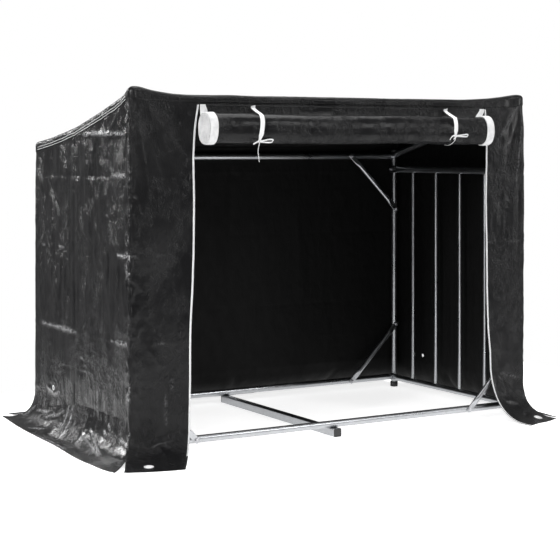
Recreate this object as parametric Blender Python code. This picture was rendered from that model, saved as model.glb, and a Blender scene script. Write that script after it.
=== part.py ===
"""Firewood log rack: a bolted frame of galvanised tubes under a tarpaulin cover with a roll-up front door.

Metres, +Z up. X runs along the width, the open front faces -Y, and the origin is on the ground under the
middle of the cover's footprint.
"""

import math

import bmesh
import bpy
from mathutils import Matrix, Vector

# Frame: tube sizes and where the tube axes lie
TUBE_R = 0.0125
TUBE_WALL = 0.001
BAR_R = 0.008
BAR_WALL = 0.0008
BRACE_R = 0.009
POST_X = 0.800
FRONT_Y = -0.391
BACK_Y = 0.404
FRONT_POST_TOP = 1.208
BACK_POST_TOP = 1.010
FRONT_TOP_RAIL_Z = 1.182
BACK_TOP_RAIL_Z = 0.984
SIDE_RAIL_Z = 0.9285
BRACE_LEG = 0.225
BARS_PER_SIDE = 4

# Pressed flat end of a tube, bolted to its neighbour
TONGUE_THICK = 0.0036
TONGUE_SLIT = 0.0012
TONGUE_PAST_BOLT = 0.012
TONGUE_BEFORE_BOLT = 0.018
TONGUE_TAPER = 0.042
FLAT_WIDENING = 1.16
ROUND_SIDES = 12
THIN_SIDES = 8

# Feet
FOOT_SIDE = 0.030
FOOT_WALL = 0.0015
FOOT_X = -0.020
FOOT_HALF_LENGTH = 0.414
FOOT_CAP_THICK = 0.004
SHOE_R = 0.016
SHOE_HEIGHT = 0.022
SHOE_FLOOR = 0.0027

# Cover
GAP = 0.0003
SHEET = 0.0012
HALF_WIDTH = 0.825
HALF_DEPTH = 0.420
ROOF_FRONT_Z = 1.2225
ROOF_BACK_Z = 1.0305
HEADER_BOTTOM_Z = 1.125
CREASE_Z = 0.125
KNEE_SHARE = 0.28  # of the way from the upright face out to the skirt's edge
KNEE_Z = 0.024
SIDE_SKIRT_GROUND = {
    "left": ((-0.957, -0.525), (-0.895, 0.583)),
    "right": ((0.905, -0.528), (0.957, 0.560)),
}
FRONT_SKIRT_GROUND = {
    "left": ((-0.913, -0.566), (-0.728, -0.6245)),
    "right": ((0.6994, -0.607), (0.881, -0.541)),
}
BACK_SKIRT_GROUND = ((0.850, 0.6245), (-0.850, 0.6245))
OPENING_TOP = (-0.585, 0.636)
OPENING_BOTTOM = (-0.616, 0.665)
TAPE_WIDTH = 0.009
TAPE_GAP = 0.0012

# Eyelets: a hole in the sheet, and a metal ring in it
EYELET_SIDES = 16
EYELET_THICK = 0.003
RING_CLEARANCE = 0.0003
FRONT_HOLE_R = 0.0125
FRONT_RING_INNER_R = 0.009
FRONT_EYELET_PLACE = {"left": (0.380, 0.595), "right": (0.710, 0.550)}  # shares along and out from the knee
SIDE_HOLE_R = 0.0085
SIDE_RING_INNER_R = 0.005
SIDE_EYELET_Y = 0.230
SIDE_EYELET_Z = 0.150

# Rolled door: an oval roll that hangs in front of the header, and its tie straps
ROLL_LEFT = -0.575
ROLL_RIGHT = 0.610
ROLL_Y = -0.464
ROLL_Z = 1.086
ROLL_HALF_DEPTH = 0.040
ROLL_HALF_HEIGHT = 0.050
ROLL_WALL = 0.008
BAND_WIDTH = 0.028
BAND_PROUD = 0.001
CURTAIN_TOP = 1.165
TIE_X = (-0.373, 0.449)
TIE_WIDTH = 0.016
TIE_BOTTOM = 1.025
TIE_START = ((-0.4260, 1.165), (-0.4285, 1.1500))
TIE_CLEARANCE = 0.0015

SIDES = (("left", -1.0), ("right", 1.0))
ODD_GUIDE = Vector((0.37, 0.21, 0.9))  # parallel to no round piece's axis
BOTTOM_RAIL_Z = FOOT_SIDE + GAP + TUBE_R
TONGUE_OFFSET = TUBE_R + TONGUE_THICK / 2 + GAP
SIDE_RAIL_X = POST_X - TONGUE_OFFSET
RAIL_END_X = SIDE_RAIL_X - TONGUE_THICK / 2 - GAP
ROOF_SLOPE = (ROOF_FRONT_Z - ROOF_BACK_Z) / (2 * HALF_DEPTH)


def clear_scene():
    for obj in list(bpy.data.objects):
        bpy.data.objects.remove(obj, do_unlink=True)


def make_material(name, colour, roughness, metallic=0.0):
    material = bpy.data.materials.new(name)
    material.use_nodes = True
    shader = material.node_tree.nodes["Principled BSDF"]
    shader.inputs["Base Color"].default_value = (*colour, 1.0)
    shader.inputs["Roughness"].default_value = roughness
    shader.inputs["Metallic"].default_value = metallic
    return material


def add_object(name, vertices, faces, material, smooth=False):
    mesh = bpy.data.meshes.new(name)
    mesh.from_pydata([tuple(v) for v in vertices], [], faces)
    builder = bmesh.new()
    builder.from_mesh(mesh)
    bmesh.ops.recalc_face_normals(builder, faces=builder.faces)
    if builder.calc_volume(signed=True) < 0:
        bmesh.ops.reverse_faces(builder, faces=builder.faces)
    builder.to_mesh(mesh)
    builder.free()
    mesh.materials.append(material)
    if smooth:
        mesh.shade_smooth()
        mesh.set_sharp_from_angle(angle=math.radians(40))
    obj = bpy.data.objects.new(name, mesh)
    bpy.context.scene.collection.objects.link(obj)
    return obj


def parent_to(parent, *objects):
    for obj in objects:
        obj.parent = parent
        obj.matrix_parent_inverse = parent.matrix_world.inverted()


def make_empty(name, place):
    empty = bpy.data.objects.new(name, None)
    empty.location = place
    empty.matrix_world = Matrix.Translation(place)
    bpy.context.scene.collection.objects.link(empty)
    return empty


def oval(half_width, half_height, sides):
    """Points of an ellipse, as pairs."""
    turns = [2 * math.pi * (i + 0.5) / sides for i in range(sides)]
    return [(half_width * math.cos(t), half_height * math.sin(t)) for t in turns]


def axes_along(direction, flat_normal):
    """Unit vectors across a tube: along its flat, and along its flat's normal."""
    along = direction.normalized()
    normal = (flat_normal - along * flat_normal.dot(along)).normalized()
    return along.cross(normal), normal


def ring_at(centre, across, normal, half_width, half_height, sides):
    return [centre + across * a + normal * b for a, b in oval(half_width, half_height, sides)]


def hollow_of(name, outer, inner, material):
    """A hollow solid from matching lists of outer and inner rings, open at both ends."""
    sides = len(outer[0])
    vertices = [point for ring in outer + inner for point in ring]
    faces = []
    for first in (0, len(outer)):
        for i in range(len(outer) - 1):
            low, high = (first + i) * sides, (first + i + 1) * sides
            for j in range(sides):
                k = (j + 1) % sides
                face = (low + j, low + k, high + k, high + j)
                faces.append(face if first == 0 else face[::-1])
    for end in (0, len(outer) - 1):
        out, inn = end * sides, (len(outer) + end) * sides
        for j in range(sides):
            k = (j + 1) % sides
            face = (out + k, out + j, inn + j, inn + k)
            faces.append(face if end == 0 else face[::-1])
    return add_object(name, vertices, faces, material, smooth=True)


def straight_tube(name, start, end, radius, wall, sides, material):
    """A plain tube with open ends."""
    start, end = Vector(start), Vector(end)
    guide = Vector((0, 0, 1)) if abs((end - start).normalized().z) < 0.9 else Vector((1, 0, 0))
    across, normal = axes_along(end - start, guide)
    outer = [ring_at(p, across, normal, radius, radius, sides) for p in (start, end)]
    inner = [ring_at(p, across, normal, radius - wall, radius - wall, sides) for p in (start, end)]
    return hollow_of(name, outer, inner, material)


def flat_ended_tube(name, bolts, flat_normal, radius, wall, sides, material):
    """A tube whose two ends are pressed flat around bolt points, with a thin slit left between the layers."""
    first, last = Vector(bolts[0]), Vector(bolts[1])
    length = (last - first).length
    along = (last - first).normalized()
    across, normal = axes_along(along, Vector(flat_normal))
    flat_half = radius * FLAT_WIDENING
    flat = (flat_half, TONGUE_THICK / 2, flat_half - wall, TONGUE_SLIT / 2)
    mouth = (flat_half * 0.55, TONGUE_THICK / 2, flat_half * 0.55 - wall, TONGUE_SLIT / 2)
    middle = (radius * 1.08, radius * 0.62, radius * 1.08 - wall, radius * 0.62 - wall)
    full = (radius, radius, radius - wall, radius - wall)
    half_list = [
        (-TONGUE_PAST_BOLT, mouth),
        (-TONGUE_PAST_BOLT * 0.4, flat),
        (TONGUE_BEFORE_BOLT, flat),
        (TONGUE_BEFORE_BOLT + TONGUE_TAPER * 0.55, middle),
        (TONGUE_BEFORE_BOLT + TONGUE_TAPER, full),
    ]
    stations = half_list + [(length - s, shape) for s, shape in reversed(half_list)]
    outer = [ring_at(first + along * s, across, normal, k[0], k[1], sides) for s, k in stations]
    inner = [ring_at(first + along * s, across, normal, k[2], k[3], sides) for s, k in stations]
    return hollow_of(name, outer, inner, material)


def turned(name, profile, sides, place, direction, material):
    """A solid of revolution: the profile's (radius, height) points, with its first and last on the axis."""
    across, normal = axes_along(Vector(direction), ODD_GUIDE)
    along = Vector(direction).normalized()
    place = Vector(place)
    vertices = [place + along * profile[0][1], place + along * profile[-1][1]]
    rings = []
    for radius, height in profile[1:-1]:
        rings.append(list(range(len(vertices), len(vertices) + sides)))
        vertices += ring_at(place + along * height, across, normal, radius, radius, sides)
    faces = []
    for j in range(sides):
        k = (j + 1) % sides
        faces.append((0, rings[0][k], rings[0][j]))
        faces.append((1, rings[-1][j], rings[-1][k]))
        for low, high in zip(rings, rings[1:]):
            faces.append((low[j], low[k], high[k], high[j]))
    return add_object(name, vertices, faces, material, smooth=True)


def eyelet_ring(name, hole_r, inner_r, place, direction, material):
    """A metal ring that fills the rim of a hole, centred on its place."""
    half = Vector(direction).normalized() * EYELET_THICK / 2
    across, normal = axes_along(Vector(direction), ODD_GUIDE)
    ends = (Vector(place) - half, Vector(place) + half)
    outer_r = hole_r - RING_CLEARANCE
    outer = [ring_at(p, across, normal, outer_r, outer_r, EYELET_SIDES) for p in ends]
    inner = [ring_at(p, across, normal, inner_r, inner_r, EYELET_SIDES) for p in ends]
    return hollow_of(name, outer, inner, material)


def box(name, low, high, material):
    corners = [(x, y, z) for z in (low[2], high[2]) for y in (low[1], high[1]) for x in (low[0], high[0])]
    faces = [(0, 2, 3, 1), (4, 5, 7, 6), (0, 1, 5, 4), (2, 6, 7, 3), (0, 4, 6, 2), (1, 3, 7, 5)]
    return add_object(name, corners, faces, material)


def layered_sheet(name, rows, material):
    """A thin sheet from rows of (left point, right point, offset to the inner face)."""
    vertices = []
    for left, right, offset in rows:
        left, right, offset = Vector(left), Vector(right), Vector(offset)
        vertices += [left, right, left + offset, right + offset]
    faces = []
    for i in range(len(rows) - 1):
        a, b = 4 * i, 4 * (i + 1)
        faces += [(a, a + 1, b + 1), (a, b + 1, b), (a + 2, b + 3, a + 3), (a + 2, b + 2, b + 3)]
        faces += [(a + 2, a, b, b + 2), (a + 1, a + 3, b + 3, b + 1)]
    last = 4 * (len(rows) - 1)
    faces += [(0, 2, 3, 1), (last, last + 1, last + 3, last + 2)]
    return add_object(name, vertices, faces, material)


def knee_line(crease, ground):
    """The two ends of the line along which a skirt turns from steep to nearly flat."""
    ends = [Vector(c).lerp(Vector(g), KNEE_SHARE) for c, g in zip(crease, ground)]
    return tuple(Vector((end.x, end.y, KNEE_Z)) for end in ends)


def panel_rows(outward, top, crease, ground):
    """Rows of a cover panel: its upright face down to the crease, the knee, then the skirt's edge."""
    inward = Vector(outward) * -SHEET
    return [
        (*top, inward),
        (*crease, inward),
        (*knee_line(crease, ground), (inward + Vector((0, 0, -SHEET))) * 0.7),
        (*ground, (0, 0, -SHEET)),
    ]


def cut_round_hole(obj, place, direction, radius):
    """Takes a round hole out of a sheet with a Boolean, and keeps the cutter as a guide."""
    across, normal = axes_along(Vector(direction), ODD_GUIDE)
    reach = Vector(direction).normalized() * radius * 1.6
    place = Vector(place)
    sides = EYELET_SIDES
    low = ring_at(place - reach, across, normal, radius, radius, sides)
    high = ring_at(place + reach, across, normal, radius, radius, sides)
    faces = [tuple(range(sides))[::-1], tuple(range(sides, 2 * sides))]
    faces += [(j, (j + 1) % sides, sides + (j + 1) % sides, sides + j) for j in range(sides)]
    cutter = add_object(obj.name + "_cutter", low + high, faces, obj.data.materials[0])
    cutter.hide_render = True
    cutter.display_type = "WIRE"
    hole = obj.modifiers.new("hole", "BOOLEAN")
    hole.operation = "DIFFERENCE"
    hole.object = cutter


def roof_underside(y):
    return ROOF_FRONT_Z - SHEET - ROOF_SLOPE * (y + HALF_DEPTH)


def make_posts(steel, plastic):
    for end, y, top in (("front", FRONT_Y, FRONT_POST_TOP), ("back", BACK_Y, BACK_POST_TOP)):
        for side, sign in SIDES:
            x = sign * POST_X
            low = SHOE_FLOOR + GAP
            foot, head = (x, y, low), (x, y, top)
            straight_tube(f"post_{end}_{side}", foot, head, TUBE_R, TUBE_WALL, ROUND_SIDES, steel)
            inner_r = TUBE_R + GAP
            profile = [(0, 0), (SHOE_R, 0), (SHOE_R, SHOE_HEIGHT), (inner_r, SHOE_HEIGHT),
                       (inner_r, SHOE_FLOOR), (0, SHOE_FLOOR)]
            turned(f"post_shoe_{end}_{side}", profile, ROUND_SIDES, (x, y, 0), (0, 0, 1), plastic)


def make_long_rails(steel):
    rails = (
        ("rail_front_bottom", FRONT_Y, BOTTOM_RAIL_Z),
        ("rail_front_top", FRONT_Y, FRONT_TOP_RAIL_Z),
        ("rail_back_bottom", BACK_Y, BOTTOM_RAIL_Z),
        ("rail_back_top", BACK_Y, BACK_TOP_RAIL_Z),
    )
    for name, y, z in rails:
        straight_tube(name, (-RAIL_END_X, y, z), (RAIL_END_X, y, z), TUBE_R, TUBE_WALL, ROUND_SIDES, steel)


def make_side_rails(steel):
    heights = (
        ("side_rail_bottom", BOTTOM_RAIL_Z, BOTTOM_RAIL_Z),
        ("side_rail_upper", SIDE_RAIL_Z, SIDE_RAIL_Z),
        ("roof_tube", FRONT_TOP_RAIL_Z, BACK_TOP_RAIL_Z),
    )
    for kind, front_z, back_z in heights:
        for side, sign in SIDES:
            x = sign * SIDE_RAIL_X
            bolts = ((x, FRONT_Y, front_z), (x, BACK_Y, back_z))
            flat_ended_tube(f"{kind}_{side}", bolts, (1, 0, 0), TUBE_R, TUBE_WALL, ROUND_SIDES, steel)


def make_bars(steel):
    pitch = (BACK_Y - FRONT_Y) / (BARS_PER_SIDE + 1)
    low = BOTTOM_RAIL_Z + TUBE_R + GAP
    high = SIDE_RAIL_Z - TUBE_R - GAP
    for side, sign in SIDES:
        for i in range(BARS_PER_SIDE):
            x, y = sign * SIDE_RAIL_X, FRONT_Y + pitch * (i + 1)
            foot, head = (x, y, low), (x, y, high)
            straight_tube(f"side_bar_{side}_{i + 1}", foot, head, BAR_R, BAR_WALL, THIN_SIDES, steel)


def make_braces(steel):
    corners = (
        ("front_lower", FRONT_Y, BOTTOM_RAIL_Z, 1),
        ("front_upper", FRONT_Y, FRONT_TOP_RAIL_Z, -1),
        ("back_lower", BACK_Y, BOTTOM_RAIL_Z, 1),
        ("back_upper", BACK_Y, BACK_TOP_RAIL_Z, -1),
    )
    for place, y, z, rise in corners:
        for side, sign in SIDES:
            on_rail = (sign * (POST_X - BRACE_LEG), y - TONGUE_OFFSET, z)
            on_post = (sign * POST_X, y - TONGUE_OFFSET, z + rise * BRACE_LEG)
            name = f"brace_{place}_{side}"
            flat_ended_tube(name, (on_rail, on_post), (0, 1, 0), BRACE_R, BAR_WALL, THIN_SIDES, steel)


def make_middle_foot(steel, plastic):
    half, middle = FOOT_SIDE / 2, FOOT_SIDE / 2
    square = [(-half, -half), (half, -half), (half, half), (-half, half)]
    inset = (half - FOOT_WALL) / half
    ends = (-FOOT_HALF_LENGTH, FOOT_HALF_LENGTH)
    outer = [[Vector((FOOT_X + a, y, middle + b)) for a, b in square] for y in ends]
    inner = [[Vector((FOOT_X + a * inset, y, middle + b * inset)) for a, b in square] for y in ends]
    hollow_of("middle_foot", outer, inner, steel)
    for name, sign in (("front", -1), ("back", 1)):
        near, far = sign * (FOOT_HALF_LENGTH + GAP), sign * (FOOT_HALF_LENGTH + GAP + FOOT_CAP_THICK)
        low = (FOOT_X - half, min(near, far), 0)
        high = (FOOT_X + half, max(near, far), FOOT_SIDE)
        box(f"foot_cap_{name}", low, high, plastic)


def make_roof(tarpaulin):
    rows = [
        ((-HALF_WIDTH, y, z), (HALF_WIDTH, y, z), (0, 0, -SHEET))
        for y, z in ((-HALF_DEPTH, ROOF_FRONT_Z), (HALF_DEPTH, ROOF_BACK_Z))
    ]
    return layered_sheet("cover_roof", rows, tarpaulin)


def make_side_panels(tarpaulin, metal):
    """Left and right panels, each with a small eyelet near its back edge."""
    edge = HALF_DEPTH - SHEET - GAP
    tops = [roof_underside(y) - 2 * GAP for y in (-edge, edge)]
    parts = []
    for side, sign in SIDES:
        x = sign * HALF_WIDTH
        top = ((x, -edge, tops[0]), (x, edge, tops[1]))
        crease = ((x, -edge, CREASE_Z), (x, edge, CREASE_Z))
        ground = tuple((*corner, SHEET) for corner in SIDE_SKIRT_GROUND[side])
        panel = layered_sheet(f"cover_{side}_side", panel_rows((sign, 0, 0), top, crease, ground), tarpaulin)
        place = (x - sign * SHEET / 2, SIDE_EYELET_Y, SIDE_EYELET_Z)
        cut_round_hole(panel, place, (1, 0, 0), SIDE_HOLE_R)
        eyelet = eyelet_ring(f"eyelet_side_{side}", SIDE_HOLE_R, SIDE_RING_INNER_R, place, (1, 0, 0), metal)
        parts += [panel, eyelet]
    return parts


def make_back_panel(tarpaulin):
    edge = HALF_WIDTH - SHEET - 2 * GAP
    top_z = roof_underside(HALF_DEPTH) - 2 * GAP
    top = ((edge, HALF_DEPTH, top_z), (-edge, HALF_DEPTH, top_z))
    crease = ((edge, HALF_DEPTH, CREASE_Z), (-edge, HALF_DEPTH, CREASE_Z))
    ground = tuple((*corner, SHEET) for corner in BACK_SKIRT_GROUND)
    return layered_sheet("cover_back", panel_rows((0, 1, 0), top, crease, ground), tarpaulin)


def make_header(tarpaulin):
    edge = HALF_WIDTH - SHEET - 2 * GAP
    inward = (0, SHEET, 0)
    rows = [
        ((-edge, -HALF_DEPTH, z), (edge, -HALF_DEPTH, z), inward)
        for z in (roof_underside(-HALF_DEPTH) - 2 * GAP, HEADER_BOTTOM_Z)
    ]
    return layered_sheet("cover_header", rows, tarpaulin)


def along_edge(rows, start, end):
    """The same rows, kept only between two distances from their left point."""
    kept = []
    for left, right, offset in rows:
        left, right = Vector(left), Vector(right)
        step = (right - left).normalized()
        kept.append((left + step * start, left + step * end, offset))
    return kept


def make_front_flap(side, top_xs, crease_xs, tarpaulin, tape, metal):
    """One front flap, the zip tape along its edge at the opening, and the eyelet in its skirt."""
    flap_top = HEADER_BOTTOM_Z - 2 * GAP
    top = tuple((x, -HALF_DEPTH, flap_top) for x in top_xs)
    crease = tuple((x, -HALF_DEPTH, CREASE_Z) for x in crease_xs)
    ground = tuple((*corner, SHEET) for corner in FRONT_SKIRT_GROUND[side])
    rows = panel_rows((0, -1, 0), top, crease, ground)
    panel = layered_sheet(f"cover_front_{side}_flap", rows, tarpaulin)
    tape_rows = []
    lifts = ((0, -1, 0), (0, -0.9, 0.3), (0, -0.5, 0.8), (0, -0.2, 1.0))
    for (left, right, offset), lift in zip(rows, lifts):
        rise = Vector(lift) * (TAPE_GAP + SHEET)
        tape_rows.append((Vector(left) + rise, Vector(right) + rise, offset))
    width = [(Vector(r) - Vector(l)).length for l, r, _ in tape_rows]
    if side == "left":
        tape_rows = [along_edge([row], w - TAPE_WIDTH, w)[0] for row, w in zip(tape_rows, width)]
    else:
        tape_rows = along_edge(tape_rows, 0, TAPE_WIDTH)
    band = layered_sheet(f"zip_tape_{side}", tape_rows, tape)
    across, out = FRONT_EYELET_PLACE[side]
    knee = knee_line(crease, ground)
    upper = knee[0].lerp(knee[1], across)
    lower = Vector(ground[0]).lerp(Vector(ground[1]), across)
    place = upper.lerp(lower, out)
    normal = (lower - upper).cross(knee[1] - knee[0]).normalized()
    cut_round_hole(panel, place, normal, FRONT_HOLE_R)
    ring = eyelet_ring(f"eyelet_front_{side}", FRONT_HOLE_R, FRONT_RING_INNER_R, place, normal, metal)
    return [panel, band, ring]


def make_ties(ribbon):
    """Ribbon straps that hang from the header over the front of the roll."""
    turns = [math.radians(a) for a in (62, 48, 34, 20, 8)]
    depth, height = ROLL_HALF_DEPTH + TIE_CLEARANCE, ROLL_HALF_HEIGHT + TIE_CLEARANCE
    path = list(TIE_START)
    path += [(ROLL_Y - depth * math.cos(t), ROLL_Z + height * math.sin(t)) for t in turns]
    path += [(ROLL_Y - depth - GAP, ROLL_Z - 0.010), (ROLL_Y - depth - GAP, TIE_BOTTOM)]
    ties = []
    for (side, _), x in zip(SIDES, TIE_X):
        left, right = x - TIE_WIDTH / 2, x + TIE_WIDTH / 2
        rows = []
        for i, (y, z) in enumerate(path):
            before, after = path[max(i - 1, 0)], path[min(i + 1, len(path) - 1)]
            run = Vector((0, after[0] - before[0], after[1] - before[1])).normalized()
            outward = Vector((0, run.z, -run.y))
            rows.append(((left, y, z), (right, y, z), outward * SHEET))
        ties.append(layered_sheet(f"tie_{side}", rows, ribbon))
    return ties


def oval_section(name, left, right, proud, hollow, material):
    """A length of the roll: an oval prism along X, hollow or solid."""
    sides = 24
    ends = (Vector((left, ROLL_Y, ROLL_Z)), Vector((right, ROLL_Y, ROLL_Z)))
    depth, height = ROLL_HALF_DEPTH + proud, ROLL_HALF_HEIGHT + proud
    across, up = Vector((0, 1, 0)), Vector((0, 0, 1))
    outer = [ring_at(p, across, up, depth, height, sides) for p in ends]
    if hollow:
        inner = [ring_at(p, across, up, depth - ROLL_WALL, height - ROLL_WALL, sides) for p in ends]
        return hollow_of(name, outer, inner, material)
    faces = [tuple(range(sides)), tuple(range(sides, 2 * sides))[::-1]]
    faces += [(j, (j + 1) % sides, sides + (j + 1) % sides, sides + j) for j in range(sides)]
    return add_object(name, outer[0] + outer[1], faces, material, smooth=True)


def make_door(tarpaulin, tape):
    """The rolled door, with the coiled zip tape as a band at each end."""
    roll = oval_section(
        "door_roll", ROLL_LEFT + BAND_WIDTH + GAP, ROLL_RIGHT - BAND_WIDTH - GAP, 0, True, tarpaulin
    )
    left = oval_section("roll_band_left", ROLL_LEFT, ROLL_LEFT + BAND_WIDTH, BAND_PROUD, False, tape)
    right = oval_section("roll_band_right", ROLL_RIGHT - BAND_WIDTH, ROLL_RIGHT, BAND_PROUD, False, tape)
    return [roll, left, right]


def make_curtain(tarpaulin):
    """The short stretch of door between the header and the roll, which lengthens as the door comes down."""
    y = -HALF_DEPTH - 2 * SHEET
    low, high = (ROLL_LEFT + GAP, y - SHEET, ROLL_Z + ROLL_HALF_HEIGHT), (ROLL_RIGHT - GAP, y, CURTAIN_TOP)
    return box("door_curtain", low, high, tarpaulin)


def main():
    clear_scene()
    steel = make_material("galvanised_steel", (0.62, 0.63, 0.65), 0.38, 1.0)
    plastic = make_material("black_plastic", (0.02, 0.02, 0.02), 0.45)
    tarpaulin = make_material("tarpaulin", (0.022, 0.022, 0.022), 0.36)
    tape = make_material("zip_tape", (0.88, 0.88, 0.88), 0.6)
    ribbon = make_material("ribbon", (0.90, 0.90, 0.90), 0.55)
    metal = make_material("eyelet_metal", (0.75, 0.75, 0.77), 0.3, 1.0)
    make_posts(steel, plastic)
    make_long_rails(steel)
    make_side_rails(steel)
    make_bars(steel)
    make_braces(steel)
    make_middle_foot(steel, plastic)
    edge = HALF_WIDTH - SHEET - 2 * GAP
    cover = [make_roof(tarpaulin), make_back_panel(tarpaulin), make_header(tarpaulin)]
    cover += make_side_panels(tarpaulin, metal)
    left, right = (-edge, OPENING_TOP[0]), (OPENING_TOP[1], edge)
    left_low, right_low = (-edge, OPENING_BOTTOM[0]), (OPENING_BOTTOM[1], edge)
    cover += make_front_flap("left", left, left_low, tarpaulin, tape, metal)
    cover += make_front_flap("right", right, right_low, tarpaulin, tape, metal)
    cover += make_ties(ribbon)
    cover.append(make_curtain(tarpaulin))
    parent_to(make_empty("cover_lift", (0, 0, 0)), *cover)
    parent_to(make_empty("door_drop", (0, ROLL_Y, ROLL_Z)), *make_door(tarpaulin, tape))


main()
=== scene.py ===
import math

import bmesh
import bpy
import numpy as np
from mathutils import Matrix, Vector


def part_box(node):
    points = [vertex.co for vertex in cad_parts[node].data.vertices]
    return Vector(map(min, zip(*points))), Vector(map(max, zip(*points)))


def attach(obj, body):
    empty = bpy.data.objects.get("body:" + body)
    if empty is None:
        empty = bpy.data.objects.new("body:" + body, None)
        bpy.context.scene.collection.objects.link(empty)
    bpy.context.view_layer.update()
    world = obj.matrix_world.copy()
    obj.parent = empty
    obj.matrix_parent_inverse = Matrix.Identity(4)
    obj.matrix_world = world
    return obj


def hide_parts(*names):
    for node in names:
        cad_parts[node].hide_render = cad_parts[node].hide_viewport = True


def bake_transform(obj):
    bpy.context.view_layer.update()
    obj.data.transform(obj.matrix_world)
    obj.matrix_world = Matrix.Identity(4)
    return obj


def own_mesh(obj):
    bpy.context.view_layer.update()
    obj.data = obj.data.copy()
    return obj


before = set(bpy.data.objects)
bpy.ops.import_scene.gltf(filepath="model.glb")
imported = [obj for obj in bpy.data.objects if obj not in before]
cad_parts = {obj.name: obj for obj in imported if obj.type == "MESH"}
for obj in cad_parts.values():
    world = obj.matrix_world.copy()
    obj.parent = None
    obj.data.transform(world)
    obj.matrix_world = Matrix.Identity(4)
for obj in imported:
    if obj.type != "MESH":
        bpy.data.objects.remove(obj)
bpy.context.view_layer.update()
scene = bpy.context.scene
print("frame loaded")

camera = {
    "place": (-2.8805, -4.8234, 1.0168),
    "turn": -30.77,           # degrees about the upright; the camera looks level
    "lens": 95.74,
    "sensor": 36.0,
    "shiftY": -0.2348,
}


def makeCamera():
    data = bpy.data.cameras.new("camera")
    data.lens, data.sensor_width, data.shift_y = camera["lens"], camera["sensor"], camera["shiftY"]
    eye = bpy.data.objects.new("camera", data)
    eye.location = camera["place"]
    eye.rotation_euler = (math.radians(90), 0, math.radians(camera["turn"]))
    scene.collection.objects.link(eye)
    scene.camera = eye


makeCamera()


# places taken from the frame

def lowHigh(part):
    low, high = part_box(part)
    return np.array(low), np.array(high)


def middle(part):
    low, high = lowHigh(part)
    return (low + high) / 2


halfWide, halfDeep = lowHigh("cover_roof")[1][:2]
bandLow = lowHigh("roll_band_left")[0]
bandHigh = lowHigh("roll_band_right")[1]
headerLow = lowHigh("cover_header")[0][2]
postX = middle("post_front_right")[0]
frontTop, backTop = middle("rail_front_top"), middle("rail_back_top")
frontLow, backLow = middle("rail_front_bottom"), middle("rail_back_bottom")
sideRailZ = middle("side_rail_upper_left")[2]
sideRailX = middle("side_rail_upper_right")[0]
gap = 0.0003                  # between pieces that touch
perimeter = 4 * (halfWide + halfDeep)


# small tools

def eased(t):
    # 0 to 1, level at both ends: 3t^2 - 2t^3
    t = np.clip(t, 0.0, 1.0)
    return t * t * (3.0 - 2.0 * t)


def curveThrough(points, at):
    # a smooth curve through (place, value) points: each slope is the one between the point's two neighbours
    places, values = np.array(points, float).T
    slopes = np.gradient(values, places)
    at = np.clip(at, places[0], places[-1])
    k = np.clip(np.searchsorted(places, at, side="right") - 1, 0, len(places) - 2)
    run = places[k + 1] - places[k]
    t = (at - places[k]) / run
    return ((2 * t**3 - 3 * t**2 + 1) * values[k] + (t**3 - 2 * t**2 + t) * run * slopes[k]
            + (3 * t**2 - 2 * t**3) * values[k + 1] + (t**3 - t**2) * run * slopes[k + 1])


def hills(u, v, seed, around=0):
    # random heights from -1 to 1 on a square lattice, joined by eased steps; u repeats after `around` cells
    table = np.random.default_rng(seed).uniform(-1, 1, (400, 400))
    iu, iv = np.floor(u).astype(int), np.floor(v).astype(int)
    fu, fv = eased(u - iu), eased(v - iv)
    wrap = around or 400
    low = table[iu % wrap, iv % 400] * (1 - fu) + table[(iu + 1) % wrap, iv % 400] * fu
    high = table[iu % wrap, (iv + 1) % 400] * (1 - fu) + table[(iu + 1) % wrap, (iv + 1) % 400] * fu
    return low * (1 - fv) + high * fv


def unit(v):
    # vectors at length 1
    return v / np.maximum(np.linalg.norm(v, axis=-1, keepdims=True), 1e-9)


def gridFaces(columns, rows, closedColumns=False, closedRows=False, keep=None):
    # quads between neighbouring points of a (columns, rows) grid, wrapped round where it is closed
    index = np.arange(columns * rows).reshape(columns, rows)
    if closedColumns:
        index = np.vstack([index, index[:1]])
    if closedRows:
        index = np.hstack([index, index[:, :1]])
    faces = np.stack([index[:-1, :-1], index[:-1, 1:], index[1:, 1:], index[1:, :-1]], axis=-1)
    return faces[keep] if keep is not None else faces.reshape(-1, 4)


def cappedFaces(rings, sides):
    # the faces of a stack of rings, with a fan to a pole at each end; the poles come after the rings' points
    j = np.arange(sides)
    k = (j + 1) % sides
    last, pole = (rings - 1) * sides, rings * sides
    faces = gridFaces(rings, sides, False, True)[:, ::-1].tolist()
    faces += np.stack([k, j, np.full(sides, pole)], -1).tolist()
    faces += np.stack([last + j, last + k, np.full(sides, pole + 1)], -1).tolist()
    return faces


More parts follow.
